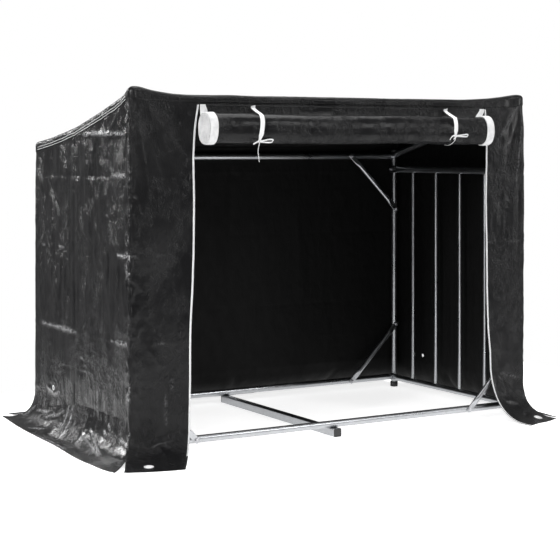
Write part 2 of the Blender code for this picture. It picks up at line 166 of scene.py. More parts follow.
def makePiece(name, shapes, finishes, body, replaced=(), uv=None, sharp=35, wall=0.0, paintedGlint=None):
    # shapes are (points, faces) pairs joined into one mesh; wall is the sheet's thickness, laid inwards
    points, faces, count = [], [], 0
    for p, f in shapes:
        p = np.asarray(p, float).reshape(-1, 3)
        points.append(p)
        faces += [[i + count for i in face] for face in (f if isinstance(f, list) else f.tolist())]
        count += len(p)
    mesh = bpy.data.meshes.new(name)
    mesh.from_pydata(np.vstack(points).tolist(), [], faces)
    if uv is not None:
        layer = mesh.uv_layers.new(name="cloth")
        corner = np.empty(len(mesh.loops), np.int32)
        mesh.loops.foreach_get("vertex_index", corner)
        layer.data.foreach_set("uv", np.asarray(uv, np.float32).reshape(-1, 2)[corner].ravel())
    # per point: how strongly the tarp's shader paints a highlight there
    if paintedGlint is not None:
        layer = mesh.attributes.new("paintedGlint", "FLOAT", "POINT")
        layer.data.foreach_set("value", np.asarray(paintedGlint, np.float32).ravel())
    mesh.validate()
    mesh.shade_smooth()
    if sharp:
        mesh.set_sharp_from_angle(angle=math.radians(sharp))
    for finish in finishes:
        mesh.materials.append(finish)
    piece = bpy.data.objects.new(name, mesh)
    scene.collection.objects.link(piece)
    if wall:
        solid = piece.modifiers.new("wall", "SOLIDIFY")
        solid.thickness, solid.offset = wall, -1.0
        if len(finishes) > 1:
            solid.material_offset = 1
    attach(piece, body)
    if replaced:
        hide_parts(*replaced)
    return piece


def ringsAlong(centres, across, normal, wide, thick, power, sides):
    # cross-sections along a path: |x/wide|^power + |y/thick|^power = 1, x along `across` and y along `normal`
    turn = 2 * np.pi * np.arange(sides) / sides
    c, s = np.cos(turn), np.sin(turn)
    e = (2.0 / np.asarray(power, float))[:, None]
    x = np.sign(c) * np.abs(c) ** e * np.asarray(wide)[:, None]
    y = np.sign(s) * np.abs(s) ** e * np.asarray(thick)[:, None]
    return centres[:, None] + across[:, None] * x[..., None] + normal[:, None] * y[..., None]


def hollowShape(start, end, flatNormal, stations, sides=32):
    # a tube of cross-sections along a line; stations are (distance, wide, thick, power, wall). The outer rings
    # go out and the inner rings come back, so the tube is one closed skin
    start, end = np.asarray(start, float), np.asarray(end, float)
    along = unit(end - start)
    normal = unit(np.asarray(flatNormal, float) - along * np.dot(along, flatNormal))
    across = np.cross(along, normal)
    d, wide, thick, power, wall = np.array(stations, float).T
    d, power = np.r_[d, d[::-1]], np.r_[power, power[::-1]]
    wide, thick = np.r_[wide, (wide - wall)[::-1]], np.r_[thick, (thick - wall)[::-1]]
    centres = start + along * d[:, None]
    n = len(d)
    rings = ringsAlong(centres, np.tile(across, (n, 1)), np.tile(normal, (n, 1)), wide, thick, power, sides)
    return rings, gridFaces(n, sides, True, True)[:, ::-1]


def turnedShape(place, direction, profile, sides=24, turned=0.0):
    # a profile of (radius, height) points turned about an axis, with a pole at each end
    along = unit(np.asarray(direction, float))
    guide = np.array([0.0, 0.0, 1.0]) if abs(along[2]) < 0.9 else np.array([1.0, 0.0, 0.0])
    across = unit(np.cross(guide, along))
    normal = np.cross(along, across)
    r, h = np.array(profile, float).T
    turn = 2 * np.pi * np.arange(sides) / sides + turned
    ring = across * np.cos(turn)[:, None] + normal * np.sin(turn)[:, None]
    rings = np.asarray(place) + along * h[:, None, None] + ring[None] * r[:, None, None]
    points = np.vstack([rings.reshape(-1, 3), place + along * h[0], place + along * h[-1]])
    return points, cappedFaces(len(r), sides)


def strandShape(path, across, wide, thick, power=2.6, sides=10, steps=0):
    # a flat band swept along a path: its width lies along `across`, squared to the path's own direction
    path, across = np.asarray(path, float), np.asarray(across, float)
    if steps:
        at = np.linspace(0, len(path) - 1, steps)
        knots = np.arange(len(path))
        spread = lambda values: curveThrough(np.stack([knots, values], 1), at)
        across = np.broadcast_to(across, path.shape)
        path, across = (np.stack([spread(values[:, i]) for i in range(3)], 1) for values in (path, across))
        wide = spread(np.broadcast_to(wide, len(knots)))
        thick = spread(np.broadcast_to(thick, len(knots)))
    n = len(path)
    along = unit(np.gradient(path, axis=0))
    across = np.broadcast_to(across, (n, 3))
    across = unit(across - along * np.sum(along * across, -1, keepdims=True))
    normal = np.cross(along, across)
    wide, thick = np.broadcast_to(wide, n) / 2, np.broadcast_to(thick, n) / 2
    rings = ringsAlong(path, across, normal, wide, thick, np.full(n, power), sides)
    return np.vstack([rings.reshape(-1, 3), path[0], path[-1]]), cappedFaces(n, sides)


def turnOut(piece):
    # faces a closed mesh outwards, after its doubles are merged
    b = bmesh.new()
    b.from_mesh(piece.data)
    bmesh.ops.remove_doubles(b, verts=b.verts, dist=1e-6)
    bmesh.ops.recalc_face_normals(b, faces=b.faces)
    if b.calc_volume(signed=True) < 0:
        bmesh.ops.reverse_faces(b, faces=b.faces)
    b.to_mesh(piece.data)
    b.free()


# materials

def shaderOf(name, colour, roughness, metallic=0.0, specular=0.5):
    material = bpy.data.materials.new(name)
    material.use_nodes = True
    shader = material.node_tree.nodes["Principled BSDF"]
    shader.inputs["Base Color"].default_value = (*colour, 1)
    shader.inputs["Roughness"].default_value = roughness
    shader.inputs["Metallic"].default_value = metallic
    shader.inputs["Specular IOR Level"].default_value = specular
    return material, material.node_tree, shader


def node(tree, kind, **values):
    # a new node, with each value put in the socket or the setting of that name
    made = tree.nodes.new(kind)
    for key, value in values.items():
        if key in made.inputs:
            made.inputs[key].default_value = value
        else:
            setattr(made, key, value)
    return made


def noiseOn(tree, place, scale, detail=3.0, stretch=(1, 1, 1), roughness=0.5, distortion=0.0):
    # noise on the stretched place
    mapping = node(tree, "ShaderNodeMapping")
    mapping.inputs["Scale"].default_value = stretch
    tree.links.new(place, mapping.inputs["Vector"])
    noise = node(tree, "ShaderNodeTexNoise", Scale=scale, Detail=detail, Roughness=roughness,
                 Distortion=distortion)
    tree.links.new(mapping.outputs[0], noise.inputs["Vector"])
    return noise.outputs["Fac"]


def ramp(tree, value, stops):
    # colours at places from 0 to 1
    made = node(tree, "ShaderNodeValToRGB")
    while len(made.color_ramp.elements) < len(stops):
        made.color_ramp.elements.new(0.5)
    for element, (at, colour) in zip(made.color_ramp.elements, stops):
        element.position, element.color = at, (*colour, 1)
    tree.links.new(value, made.inputs["Fac"])
    return made.outputs["Color"]


def spanOf(tree, value, low, high, fromLow=0.3, fromHigh=0.7):
    # from one span of values to another, held at both ends
    made = node(tree, "ShaderNodeMapRange")
    for key, number in (("From Min", fromLow), ("From Max", fromHigh), ("To Min", low), ("To Max", high)):
        made.inputs[key].default_value = number
    tree.links.new(value, made.inputs["Value"])
    return made.outputs["Result"]


def mathOf(tree, operation, *values, clamp=False):
    # one step of arithmetic on sockets and numbers
    made = node(tree, "ShaderNodeMath", operation=operation, use_clamp=clamp)
    for socket, value in zip(made.inputs, values):
        if isinstance(value, float):
            socket.default_value = value
        else:
            tree.links.new(value, socket)
    return made.outputs[0]


def bumpOn(tree, height, strength, distance, before=None):
    # relief on the normal, over an earlier relief if there is one
    made = node(tree, "ShaderNodeBump", Strength=strength, Distance=distance)
    tree.links.new(height, made.inputs["Height"])
    if before is not None:
        tree.links.new(before, made.inputs["Normal"])
    return made.outputs["Normal"]


tarpLook = {
    "dark": (0.0065, 0.0065, 0.0070),
    "worn": (0.015, 0.015, 0.0155),
    "roughness": (0.17, 0.30),
    "specular": 0.15,
    "patches": (9.0, (1.0, 1.0, 0.7)),         # scale and stretch of each pattern
    "crinkle": (46.0, (1.0, 1.0, 0.7)),
    "calm": (13.0, (1.0, 1.0, 0.5)),
    "fine": (150.0, (1.0, 1.0, 0.6)),
    "specks": (170.0, (1.0, 1.0, 0.8)),
    "crinkleRelief": (0.85, 0.014),            # strength and height of each relief
    "fineRelief": (0.25, 0.0012),
    "weaveRelief": (0.06, 0.0003),
    "weavePitch": 0.0016,
    # colour of the painted highlights on the crease ridges
    "paintedGlintColour": (0.62, 0.62, 0.63),
}


def bandsScale(pitch):
    # the wave texture's scale for one band each pitch
    return 1 / pitch / 6.2832


def makeTarp():
    # coated woven sheet: crinkles on the object's own coordinates, and a fine square weave on the UV metres
    look = tarpLook
    material, tree, shader = shaderOf("tarpaulin", look["dark"], 0.25, specular=look["specular"])
    place = node(tree, "ShaderNodeTexCoord").outputs
    pattern = lambda kind, detail, roughness=0.6, distortion=0.0: noiseOn(
        tree, place["Object"], look[kind][0], detail, look[kind][1], roughness, distortion)
    patches = pattern("patches", 4)
    colour = ramp(tree, patches, ((0.35, look["dark"]), (0.72, look["worn"])))
    # painted highlights: a paler colour along the crease ridges, in broken specks
    paintedGlint = node(tree, "ShaderNodeAttribute", attribute_name="paintedGlint")
    specks = spanOf(tree, pattern("specks", 2), 0.0, 1.0, 0.44, 0.60)
    mixed = node(tree, "ShaderNodeMix", data_type="RGBA")
    mixed.inputs[7].default_value = (*look["paintedGlintColour"], 1)
    tree.links.new(mathOf(tree, "MULTIPLY", paintedGlint.outputs["Fac"], specks, clamp=True), mixed.inputs["Factor"])
    tree.links.new(colour, mixed.inputs[6])
    tree.links.new(mixed.outputs[2], shader.inputs["Base Color"])
    tree.links.new(spanOf(tree, patches, *look["roughness"]), shader.inputs["Roughness"])
    # sharp-edged crinkles, calmer in places, then a finer grain and the weave over them
    folds = mathOf(tree, "ABSOLUTE", mathOf(tree, "SUBTRACT", pattern("crinkle", 5, 0.62, 0.6), 0.5))
    patchy = mathOf(tree, "MULTIPLY", folds, spanOf(tree, pattern("calm", 3), 0.12, 1.0, 0.42, 0.66))
    normal = bumpOn(tree, patchy, *look["crinkleRelief"])
    normal = bumpOn(tree, pattern("fine", 3), *look["fineRelief"], normal)
    weave = []
    for axis in ("X", "Y"):
        wave = node(tree, "ShaderNodeTexWave", bands_direction=axis, Scale=bandsScale(look["weavePitch"]))
        tree.links.new(place["UV"], wave.inputs["Vector"])
        weave.append(wave.outputs["Fac"])
    normal = bumpOn(tree, mathOf(tree, "MAXIMUM", *weave), *look["weaveRelief"], normal)
    tree.links.new(normal, shader.inputs["Normal"])
    return material


shadedLiningLook = {
    # darker than the coated face: painted shade for the inside of the cover
    "colour": (0.003, 0.003, 0.003),
    "specular": 0.12,
    "roughness": (0.5, 0.7),
    "relief": (0.4, 0.006),
}


def makeShadedLining():
    # the inner face of the sheet: duller, with the same crinkles, and darker than the coated face as painted
    # shade
    material, tree, shader = shaderOf("tarpaulin_inside_painted_shade", shadedLiningLook["colour"], 0.5,
                                      specular=shadedLiningLook["specular"])
    place = node(tree, "ShaderNodeTexCoord").outputs["Object"]
    crinkle = noiseOn(tree, place, 26, 4, (1, 1, 0.5), 0.6, 0.5)
    tree.links.new(bumpOn(tree, crinkle, *shadedLiningLook["relief"]), shader.inputs["Normal"])
    tree.links.new(spanOf(tree, crinkle, *shadedLiningLook["roughness"]), shader.inputs["Roughness"])
    return material


steelLook = {
    "light": (0.46, 0.47, 0.485),
    "dark": (0.42, 0.43, 0.445),
    "spangle": 90.0,
    "roughness": (0.27, 0.33),
    "relief": (0.02, 0.0001),
}


def makeSteel():
    # zinc coat: pale and darker spangles under a slow cloudiness, which also varies the roughness
    look = steelLook
    material, tree, shader = shaderOf("galvanised_steel", look["light"], 0.3, metallic=1.0)
    place = node(tree, "ShaderNodeTexCoord").outputs["Object"]
    cells = node(tree, "ShaderNodeTexVoronoi", Scale=look["spangle"])
    tree.links.new(place, cells.inputs["Vector"])
    grey = node(tree, "ShaderNodeRGBToBW")
    tree.links.new(cells.outputs["Color"], grey.inputs[0])
    cloudy = noiseOn(tree, place, 14, 2, roughness=0.5)
    spangles = mathOf(tree, "MULTIPLY", grey.outputs[0], cloudy)
    colour = ramp(tree, spangles, ((0.10, look["dark"]), (0.45, look["light"])))
    tree.links.new(colour, shader.inputs["Base Color"])
    tree.links.new(spanOf(tree, cloudy, *look["roughness"]), shader.inputs["Roughness"])
    tree.links.new(bumpOn(tree, cloudy, *look["relief"]), shader.inputs["Normal"])
    return material


def makeGrained(name, colour, paler, roughness, metallic=0.0, scale=300.0, bump=0.15, specular=0.5):
    # a moulded or pressed finish: faint mottling, with a fine grain in the bump
    material, tree, shader = shaderOf(name, colour, roughness, metallic, specular)
    place = node(tree, "ShaderNodeTexCoord").outputs["Object"]
    grain = noiseOn(tree, place, scale, 3)
    cloudy = noiseOn(tree, place, scale / 12, 3)
    tree.links.new(ramp(tree, cloudy, ((0.3, colour), (0.7, paler))), shader.inputs["Base Color"])
    tree.links.new(spanOf(tree, cloudy, roughness * 0.85, roughness * 1.15), shader.inputs["Roughness"])
    tree.links.new(bumpOn(tree, grain, bump, 0.0004), shader.inputs["Normal"])
    return material


def makeWoven(name, colour, shade, pitch, roughness=0.7):
    # narrow woven tape: a fine rib on the object's own coordinates, with sheen
    material, tree, shader = shaderOf(name, colour, roughness, specular=0.3)
    shader.inputs["Sheen Weight"].default_value = 0.15
    place = node(tree, "ShaderNodeTexCoord").outputs["Object"]
    cloudy = noiseOn(tree, place, 60, 4)
    tree.links.new(ramp(tree, cloudy, ((0.25, shade), (0.6, colour))), shader.inputs["Base Color"])
    ribs = node(tree, "ShaderNodeTexWave", bands_direction="DIAGONAL", Distortion=1.0, Scale=bandsScale(pitch))
    tree.links.new(place, ribs.inputs["Vector"])
    tree.links.new(bumpOn(tree, ribs.outputs["Fac"], 0.25, 0.0003), shader.inputs["Normal"])
    return material


tarp, shadedLining, steel = makeTarp(), makeShadedLining(), makeSteel()
plastic = makeGrained("black_plastic", (0.018, 0.018, 0.019), (0.03, 0.03, 0.031), 0.42)
eyeletMetal = makeGrained("eyelet_metal", (0.86, 0.86, 0.87), (0.93, 0.93, 0.94), 0.34, metallic=0.35,
                          bump=0.05)
boltMetal = makeGrained("bolt_steel", (0.42, 0.42, 0.44), (0.56, 0.56, 0.58), 0.34, metallic=1.0, bump=0.08)
whiteTape = makeWoven("zip_tape", (0.74, 0.74, 0.74), (0.60, 0.60, 0.61), 0.0011)
ribbonCloth = makeWoven("ribbon", (0.82, 0.82, 0.82), (0.70, 0.70, 0.71), 0.0009, 0.6)
zipTeeth = makeGrained("zip_teeth", (0.66, 0.66, 0.67), (0.76, 0.76, 0.77), 0.35, bump=0.03)
# pale thread: on the roll's white ends its own colour; on the side seams it paints the highlight along the
# seam's ridge
paleThreadAndSeamGlint = makeGrained("pale_thread_and_seam_glint", (0.66, 0.66, 0.67), (0.94, 0.94, 0.94), 0.4, scale=900.0, bump=0.3)
darkThread = makeGrained("dark_thread", (0.02, 0.02, 0.02), (0.035, 0.035, 0.035), 0.5, bump=0.3)
print("materials made")


# frame tubes: the pressed ends, the bolts through them, and the feet

tube = {"radius": 0.0125, "wall": 0.0012, "bevel": 0.0005}
bar = {"radius": 0.008, "wall": 0.001, "bevel": 0.0004}
brace = {"radius": 0.009, "wall": 0.001, "leg": 0.225}
pressed = {"thick": 0.0036, "slit": 0.0008, "past": 0.012, "before": 0.018, "taper": 0.042, "widening": 1.16,
           "nose": 0.42}
shoe = {"radius": 0.016, "bevel": 0.001, "narrowing": 0.985, "lip": 0.0006, "floor": 0.0027}
footTube = {"bevel": 0.0006, "wall": 0.0016, "power": 9}
footCap = {"power": 9.0, "sides": 48, "edge": 0.0012, "dish": 0.0014}
bolt = {"washer": 0.0075, "washerThick": 0.0012, "across": 0.0100, "head": 0.0036, "bevel": 0.0008,
        "shank": 0.0028, "nutPast": 0.0022, "domeRadius": 0.0066, "domeHeight": 0.0017}


def plainTube(start, end, size, sides=32):
    # a straight round tube with its rims bevelled
    length = float(np.linalg.norm(np.subtract(end, start)))
    r, w, b = size["radius"], size["wall"], size["bevel"]
    stations = [(0, r - b, r - b, 2, w - b), (b, r, r, 2, w)]
    stations += [(length - b, r, r, 2, w), (length, r - b, r - b, 2, w - b)]
    return hollowShape(start, end, (0.37, 0.21, 0.9), stations, sides)


def pressedTube(first, last, flatNormal, size, sides=32):
    # round in the middle, and at each end it swells sideways while it is pressed flat round the bolt
    length = float(np.linalg.norm(np.subtract(last, first)))
    r, w = size["radius"], size["wall"]
    flat, half = r * pressed["widening"], pressed["thick"] / 2
    thin = (pressed["thick"] - pressed["slit"]) / 2
    low = pressed["nose"]
    ends = [(-pressed["past"] * math.cos(a), flat * (low + (1 - low) * math.sin(a)), half, 5, thin)
            for a in np.linspace(0, np.pi / 2, 7)]
    ends.append((pressed["before"], flat, half, 5, thin))
    for k in np.linspace(0, 1, 12)[1:]:
        e = float(eased(k))
        belly = flat * (1 - e) + r * e + r * 0.06 * math.sin(math.pi * k)
        ends.append((pressed["before"] + pressed["taper"] * k, belly, half + (r - half) * e, 5 - 3 * e,
                     thin + (w - thin) * e))
    stations = ends + [(length - s, *rest) for s, *rest in reversed(ends)]
    return hollowShape(first, last, flatNormal, stations, sides)


def boltShapes(place, direction, grip, domed=False):
    # a washer and hexagon head, or a dome, on one face, and a washer, nut and bolt end on the other
    direction = unit(np.asarray(direction, float))
    place = np.asarray(place, float)
    hexR, rim, thick = bolt["across"] / math.sqrt(3), bolt["washer"], bolt["washerThick"]
    washer = [(rim - gap, 0), (rim, gap), (rim, thick - gap), (rim - gap, thick)]
    hexagon = [(hexR, 0), (hexR, bolt["head"] - bolt["bevel"]), (hexR * 0.86, bolt["head"])]
    dome = [(bolt["domeRadius"] * math.cos(a), bolt["domeHeight"] * math.sin(a))
            for a in np.linspace(0, 1.45, 6)]
    shank, past = bolt["shank"], bolt["nutPast"]
    tip = [(shank, 0), (shank, past), (shank * 0.75, past + 0.0005)]
    out = place + direction * grip / 2
    back = place - direction * grip / 2
    if domed:
        shapes = [turnedShape(out, direction, dome, 24)]
    else:
        shapes = [turnedShape(out, direction, washer, 24),
                  turnedShape(out + direction * thick, direction, hexagon, 6, 0.3)]
    shapes.append(turnedShape(back, -direction, washer, 24))
    shapes.append(turnedShape(back - direction * thick, -direction, hexagon, 6, 0.7))
    shapes.append(turnedShape(back - direction * (thick + bolt["head"]), -direction, tip, 12))
    return shapes


# a piece of galvanised steel on the frame
def steelPiece(name, shape, replaced):
    return makePiece(name, [shape], [steel], "frame", [replaced])


# a plain tube standing where its CAD part stands
def uprightTube(name, replaced, size, sides=32):
    low, high = lowHigh(replaced)
    x, y = middle(replaced)[:2]
    steelPiece(name, plainTube((x, y, low[2]), (x, y, high[2]), size, sides), replaced)


def makeShoe(end, side):
    # a cup turned round the post's foot
    replaced = f"post_shoe_{end}_{side}"
    x, y = middle(f"post_{end}_{side}")[:2]
    tall = lowHigh(replaced)[1][2]
    r, b, lip = shoe["radius"], shoe["bevel"], shoe["lip"]
    mouth, inner = r * shoe["narrowing"], tube["radius"] + gap
    cup = [(r - b, 0), (r, b), (mouth, tall - b), (mouth - lip, tall), (tube["radius"] + 0.0005, tall),
           (inner, tall - lip), (inner, shoe["floor"])]
    makePiece(f"shoe.{end}.{side}", [turnedShape((x, y, 0), (0, 0, 1), cup, 32)], [plastic], "frame",
              [replaced])


def makeFrame():
    # posts and rails run straight; side rails, roof tubes and braces are pressed flat where a bolt holds them
    sides = (("left", -1), ("right", 1))
    grip = 2 * tube["radius"] + gap + pressed["thick"]
    half = pressed["thick"] / 2
    bolts = []
    for end in ("front", "back"):
        for side, _ in sides:
            uprightTube(f"post.{end}.{side}", f"post_{end}_{side}", tube)
            makeShoe(end, side)
        for level in ("bottom", "top"):
            name = f"rail_{end}_{level}"
            low, high = lowHigh(name)
            y, z = middle(name)[1:]
            steelPiece(f"rail.{end}.{level}", plainTube((low[0], y, z), (high[0], y, z), tube), name)
    runs = (("side_rail_bottom", frontLow[2], backLow[2]), ("side_rail_upper", sideRailZ, sideRailZ),
            ("roof_tube", frontTop[2], backTop[2]))
    for kind, frontZ, backZ in runs:
        for side, sign in sides:
            x = sign * sideRailX
            ends = np.array([(x, frontTop[1], frontZ), (x, backTop[1], backZ)])
            steelPiece(f"{kind}.{side}", pressedTube(*ends, (1, 0, 0), tube), f"{kind}_{side}")
            shift = np.array([sign * grip / 2 - sign * half, 0, 0])
            bolts += [boltShapes(p + shift, (sign, 0, 0), grip, domed=True) for p in ends]
    for side, _ in sides:
        for i in range(1, 5):
            uprightTube(f"bar.{side}.{i}", f"side_bar_{side}_{i}", bar, 24)
    offset = tube["radius"] + gap + half
    for place, rail, rise in (("front_lower", frontLow, 1), ("front_upper", frontTop, -1),
                              ("back_lower", backLow, 1), ("back_upper", backTop, -1)):
        atBack = place.startswith("back")
        for side, sign in sides:
            y, z = rail[1] - offset, rail[2]
            onRail = (sign * (postX - brace["leg"]), y, z)
            onPost = (sign * postX, y, z + rise * brace["leg"])
            steelPiece(f"brace.{place}.{side}", pressedTube(onRail, onPost, (0, 1, 0), brace, 28),
                       f"brace_{place}_{side}")
            shift = np.array([0, grip / 2 - half, 0])
            outward = (0, 1 if atBack else -1, 0)
            bolts += [boltShapes(p + shift, outward, grip, domed=atBack) for p in (onRail, onPost)]
    makeMiddleFoot(bolts)
    makePiece("frame.bolts", [shape for group in bolts for shape in group], [boltMetal], "frame")


def makeMiddleFoot(bolts):
    # a square tube from front to back, a plastic cap in each end, and a domed bolt head on each rail over it
    low, high = lowHigh("middle_foot")
    x, z, half = (low[0] + high[0]) / 2, (low[2] + high[2]) / 2, (high[0] - low[0]) / 2
    b, wall, power, length = *(footTube[key] for key in ("bevel", "wall", "power")), high[1] - low[1]
    stations = [(0, half - b, half - b, power, wall - b), (b, half, half, power, wall)]
    stations += [(length - s, *rest) for s, *rest in reversed(stations)]
    shape = hollowShape((x, low[1], z), (x, high[1], z), (0, 0, 1), stations, 64)
    steelPiece("middle.foot", shape, "middle_foot")
    for end, sign in (("front", -1), ("back", 1)):
        name = f"foot_cap_{end}"
        low, high = lowHigh(name)
        near = low[1] if sign > 0 else high[1]
        thick = high[1] - low[1]
        edge, dish = thick - footCap["edge"], thick - footCap["dish"]
        depths = (0, 0.0004, edge, thick, thick, dish, dish)
        centres = np.array([(x, near + sign * d, z) for d in depths])
        size = half * np.array([0.985, 1, 1, 0.95, 0.80, 0.74, 0.02])
        n, sides = len(size), footCap["sides"]
        across, up = np.tile((-sign, 0, 0), (n, 1)), np.tile((0, 0, 1), (n, 1))
        rings = ringsAlong(centres, across, up, size, size, np.full(n, footCap["power"]), sides)
        points = np.vstack([rings.reshape(-1, 3), centres[0], centres[-1]])
        faces = [face[::-1] for face in cappedFaces(n, sides)]
        turnOut(makePiece(f"foot.cap.{end}", [(points, faces)], [plastic], "frame", [name]))
    for rail in (frontLow, backLow):
        top = rail[2] + tube["radius"]
        place = (x, rail[1], (top + wall) / 2 + 0.0005)
        bolts.append(boltShapes(place, (0, 0, 1), top - wall - 0.007, domed=True)[:1])


makeFrame()
print("frame tubes, bolts and feet made")


# the cover's shape

cover = {
    "roofEdgeR": 0.014,       # how round the cloth turns over the roof's edge
    "cornerTop": 0.019,       # corner radius in plan at the roof
    "cornerLow": 0.009,       # and further down
    "sideHem": 0.034,         # how far the roof sheet laps down each side
    "frontSeamZ": 1.170,
    "backHem": 0.030,
    "tuck": 0.008,            # how far a wall goes up under the lap
    "lap": 0.0012,            # the roof's lap stands this far off the walls
    "sheet": 0.0007,
    "hem": 0.0007,            # extra thickness of the skirt's hem
    "lowest": 0.0016,
    "crease": 0.124,          # usual height of the line where a skirt leaves its wall
    "skirtTall": 0.2,         # the cloth's own measure from that line to the hem
    "calm": 0.02,             # folds fade out this close to a wall's edge
    "inward": {"front": 0.0020, "back": 0.0008, "left": 0.008, "right": 0.008},   # clear of the tubes behind
    "cornerInward": 0.0008,
    # how strongly highlights are painted on each wall's crease ridges, most on the left
    "paintedGlint": {"front": 0.13, "back": 0.20, "left": 0.75, "right": 0.30},
    "wallRows": 176,
    "skirtRows": 44,
}

# heights of the roof's edge, as (distance along the edge, height)
frontEdge = [(-0.825, 1.2200), (-0.80, 1.2212), (-0.749, 1.2109), (-0.672, 1.2009), (-0.568, 1.1968),
             (-0.397, 1.1977), (-0.15, 1.1967), (0.10, 1.1972), (0.383, 1.1987), (0.579, 1.2021),
             (0.665, 1.2081), (0.752, 1.2176), (0.79, 1.2222), (0.825, 1.2205)]
sideEdge = [(0.0, 1.2200), (0.02, 1.2170), (0.0535, 1.1995), (0.1085, 1.1795), (0.1646, 1.1645),
            (0.2566, 1.1405), (0.3405, 1.1208), (0.4632, 1.0930), (0.591, 1.0710), (0.7254, 1.0520),
            (0.80, 1.0440), (0.84, 1.0400)]
backEdge = [(-0.825, 1.040), (-0.79, 1.041), (-0.70, 1.033), (-0.45, 1.0275), (0.0, 1.0255), (0.45, 1.0275),
            (0.70, 1.033), (0.79, 1.041), (0.825, 1.040)]

# each wall: first corner, direction, outward side, length, and where it starts along the perimeter
walls = {
    "front": ((-halfWide, -halfDeep), (1, 0), (0, -1), 2 * halfWide, 0.0),
    "right": ((halfWide, -halfDeep), (0, 1), (1, 0), 2 * halfDeep, 2 * halfWide),
    "back": ((halfWide, halfDeep), (-1, 0), (0, 1), 2 * halfWide, 2 * halfWide + 2 * halfDeep),
    "left": ((-halfWide, halfDeep), (0, -1), (-1, 0), 2 * halfDeep, 4 * halfWide + 2 * halfDeep),
}


def edgeHeight(wall, t):
    # the height of the roof's edge, t along a wall
    if wall == "front":
        return curveThrough(frontEdge, t - halfWide)
    if wall == "back":
        return curveThrough(backEdge, halfWide - t)
    v = t if wall == "right" else 2 * halfDeep - t
    return curveThrough(sideEdge, v)


def seamHeight(wall, t):
    # the line where the roof sheet's lap ends: level in front, and a lap's width under the edge elsewhere
    edge = edgeHeight(wall, t)
    length = walls[wall][3]
    if wall == "front":
        lap = edge - cover["frontSeamZ"] - 0.005 * np.exp(-np.minimum(t, length - t) / 0.15)
    else:
        lap = np.full_like(edge, cover["sideHem"] if wall != "back" else cover["backHem"])
    # the laps meet at the corners
    corner = cover["sideHem"] + 0.004
    near = np.minimum(t, length - t)
    return edge - (corner + (lap - corner) * eased(near / 0.06))


def foldAlong(s, h, start, end, width, height):
    # a ridge, or a valley where the height is negative, along a straight line, fading out at both its ends
    dx, dz = end[0] - start[0], end[1] - start[1]
    along = ((s - start[0]) * dx + (h - start[1]) * dz) / (dx * dx + dz * dz)
    k = np.clip(along, 0, 1)
    off = np.hypot(s - start[0] - k * dx, h - start[1] - k * dz)
    return height * np.exp(-(off / width) ** 1.3) * (1 - np.abs(2 * k - 1) ** 3)


# creases from packing, level and upright, as (place, depth); minus is a valley
levelCreases = [(1.065, 0.0018), (0.922, -0.0016), (0.665, 0.0018), (0.376, 0.0020), (0.240, -0.0008)]
uprightCreases = [(0.17, -0.0016), (0.274, -0.0014), (0.457, -0.0022), (0.62, 0.0012)]

# folds of each wall and skirt, as (start, end, width, height), with places as (along the wall, height); below
# the skirt's crease the height goes on down the cloth, so it turns negative on the ground
wallFolds = {
    "left": [
        ((0.805, 1.16), (0.735, 0.99), 0.022, -0.0095), ((0.828, 1.16), (0.790, 0.98), 0.008, 0.0050),
        ((0.80, 1.18), (0.62, 1.02), 0.014, 0.0035), ((0.04, 1.01), (0.28, 0.75), 0.010, -0.0075),
        ((0.03, 1.01), (0.20, 0.86), 0.016, 0.0040), ((0.02, 0.98), (0.10, 0.80), 0.012, 0.0050),
        ((0.05, 0.94), (0.09, 0.86), 0.012, 0.0045), ((0.30, 0.92), (0.33, 0.66), 0.012, 0.0022),
        ((0.55, 0.62), (0.50, 0.22), 0.022, 0.0030), ((0.10, 0.70), (0.02, 0.63), 0.008, 0.0030),
        ((0.66, 0.36), (0.60, 0.12), 0.020, -0.0025), ((0.383, 0.20), (0.383, 0.11), 0.006, -0.0060),
        ((0.06, 0.378), (0.42, 0.372), 0.006, 0.0040), ((0.74, 0.665), (0.82, 0.662), 0.006, 0.0040),
        ((0.72, 0.378), (0.83, 0.376), 0.006, 0.0045), ((0.68, 0.924), (0.82, 0.924), 0.006, 0.0045),
        ((0.46, 1.066), (0.82, 1.066), 0.006, 0.0035), ((0.20, 0.130), (0.26, 0.145), 0.006, 0.0050),
    ],
    "front": [
        ((0.03, 1.19), (0.20, 0.98), 0.012, 0.0045), ((0.05, 1.17), (0.13, 0.90), 0.012, -0.0030),
        ((0.02, 1.15), (0.07, 0.82), 0.012, 0.0034), ((0.18, 0.66), (0.15, 0.35), 0.016, 0.0020),
        ((0.08, 0.62), (0.10, 0.30), 0.014, -0.0016),
        ((1.62, 1.19), (1.50, 1.02), 0.007, 0.0046), ((1.63, 1.17), (1.55, 0.92), 0.009, -0.0030),
        ((1.64, 1.15), (1.60, 0.84), 0.006, 0.0044), ((1.60, 1.19), (1.46, 1.10), 0.009, -0.0030),
        ((1.60, 0.90), (1.585, 0.50), 0.008, 0.0040), ((1.625, 0.95), (1.615, 0.60), 0.007, -0.0024),
        ((1.56, 0.70), (1.58, 0.40), 0.010, -0.0020), ((1.63, 0.15), (1.56, 0.10), 0.010, -0.0040),
    ],
    "right": [
        ((0.03, 1.16), (0.16, 0.94), 0.018, -0.0050), ((0.02, 1.14), (0.07, 0.94), 0.012, 0.0040),
        ((0.81, 1.00), (0.62, 0.78), 0.009, -0.0045), ((0.82, 0.98), (0.74, 0.80), 0.014, 0.0040),
        ((0.40, 0.90), (0.42, 0.45), 0.020, 0.0030), ((0.25, 0.55), (0.22, 0.20), 0.018, -0.0026),
    ],
    "back": [
        ((0.03, 1.00), (0.30, 0.74), 0.016, 0.0040), ((0.02, 0.96), (0.14, 0.66), 0.012, -0.0040),
        ((1.62, 1.00), (1.36, 0.74), 0.016, 0.0040), ((1.63, 0.96), (1.52, 0.66), 0.012, -0.0040),
        ((0.80, 0.95), (0.84, 0.45), 0.030, 0.0035), ((0.50, 0.80), (0.47, 0.35), 0.022, -0.0028),
        ((1.15, 0.85), (1.20, 0.40), 0.024, 0.0030),
    ],
}
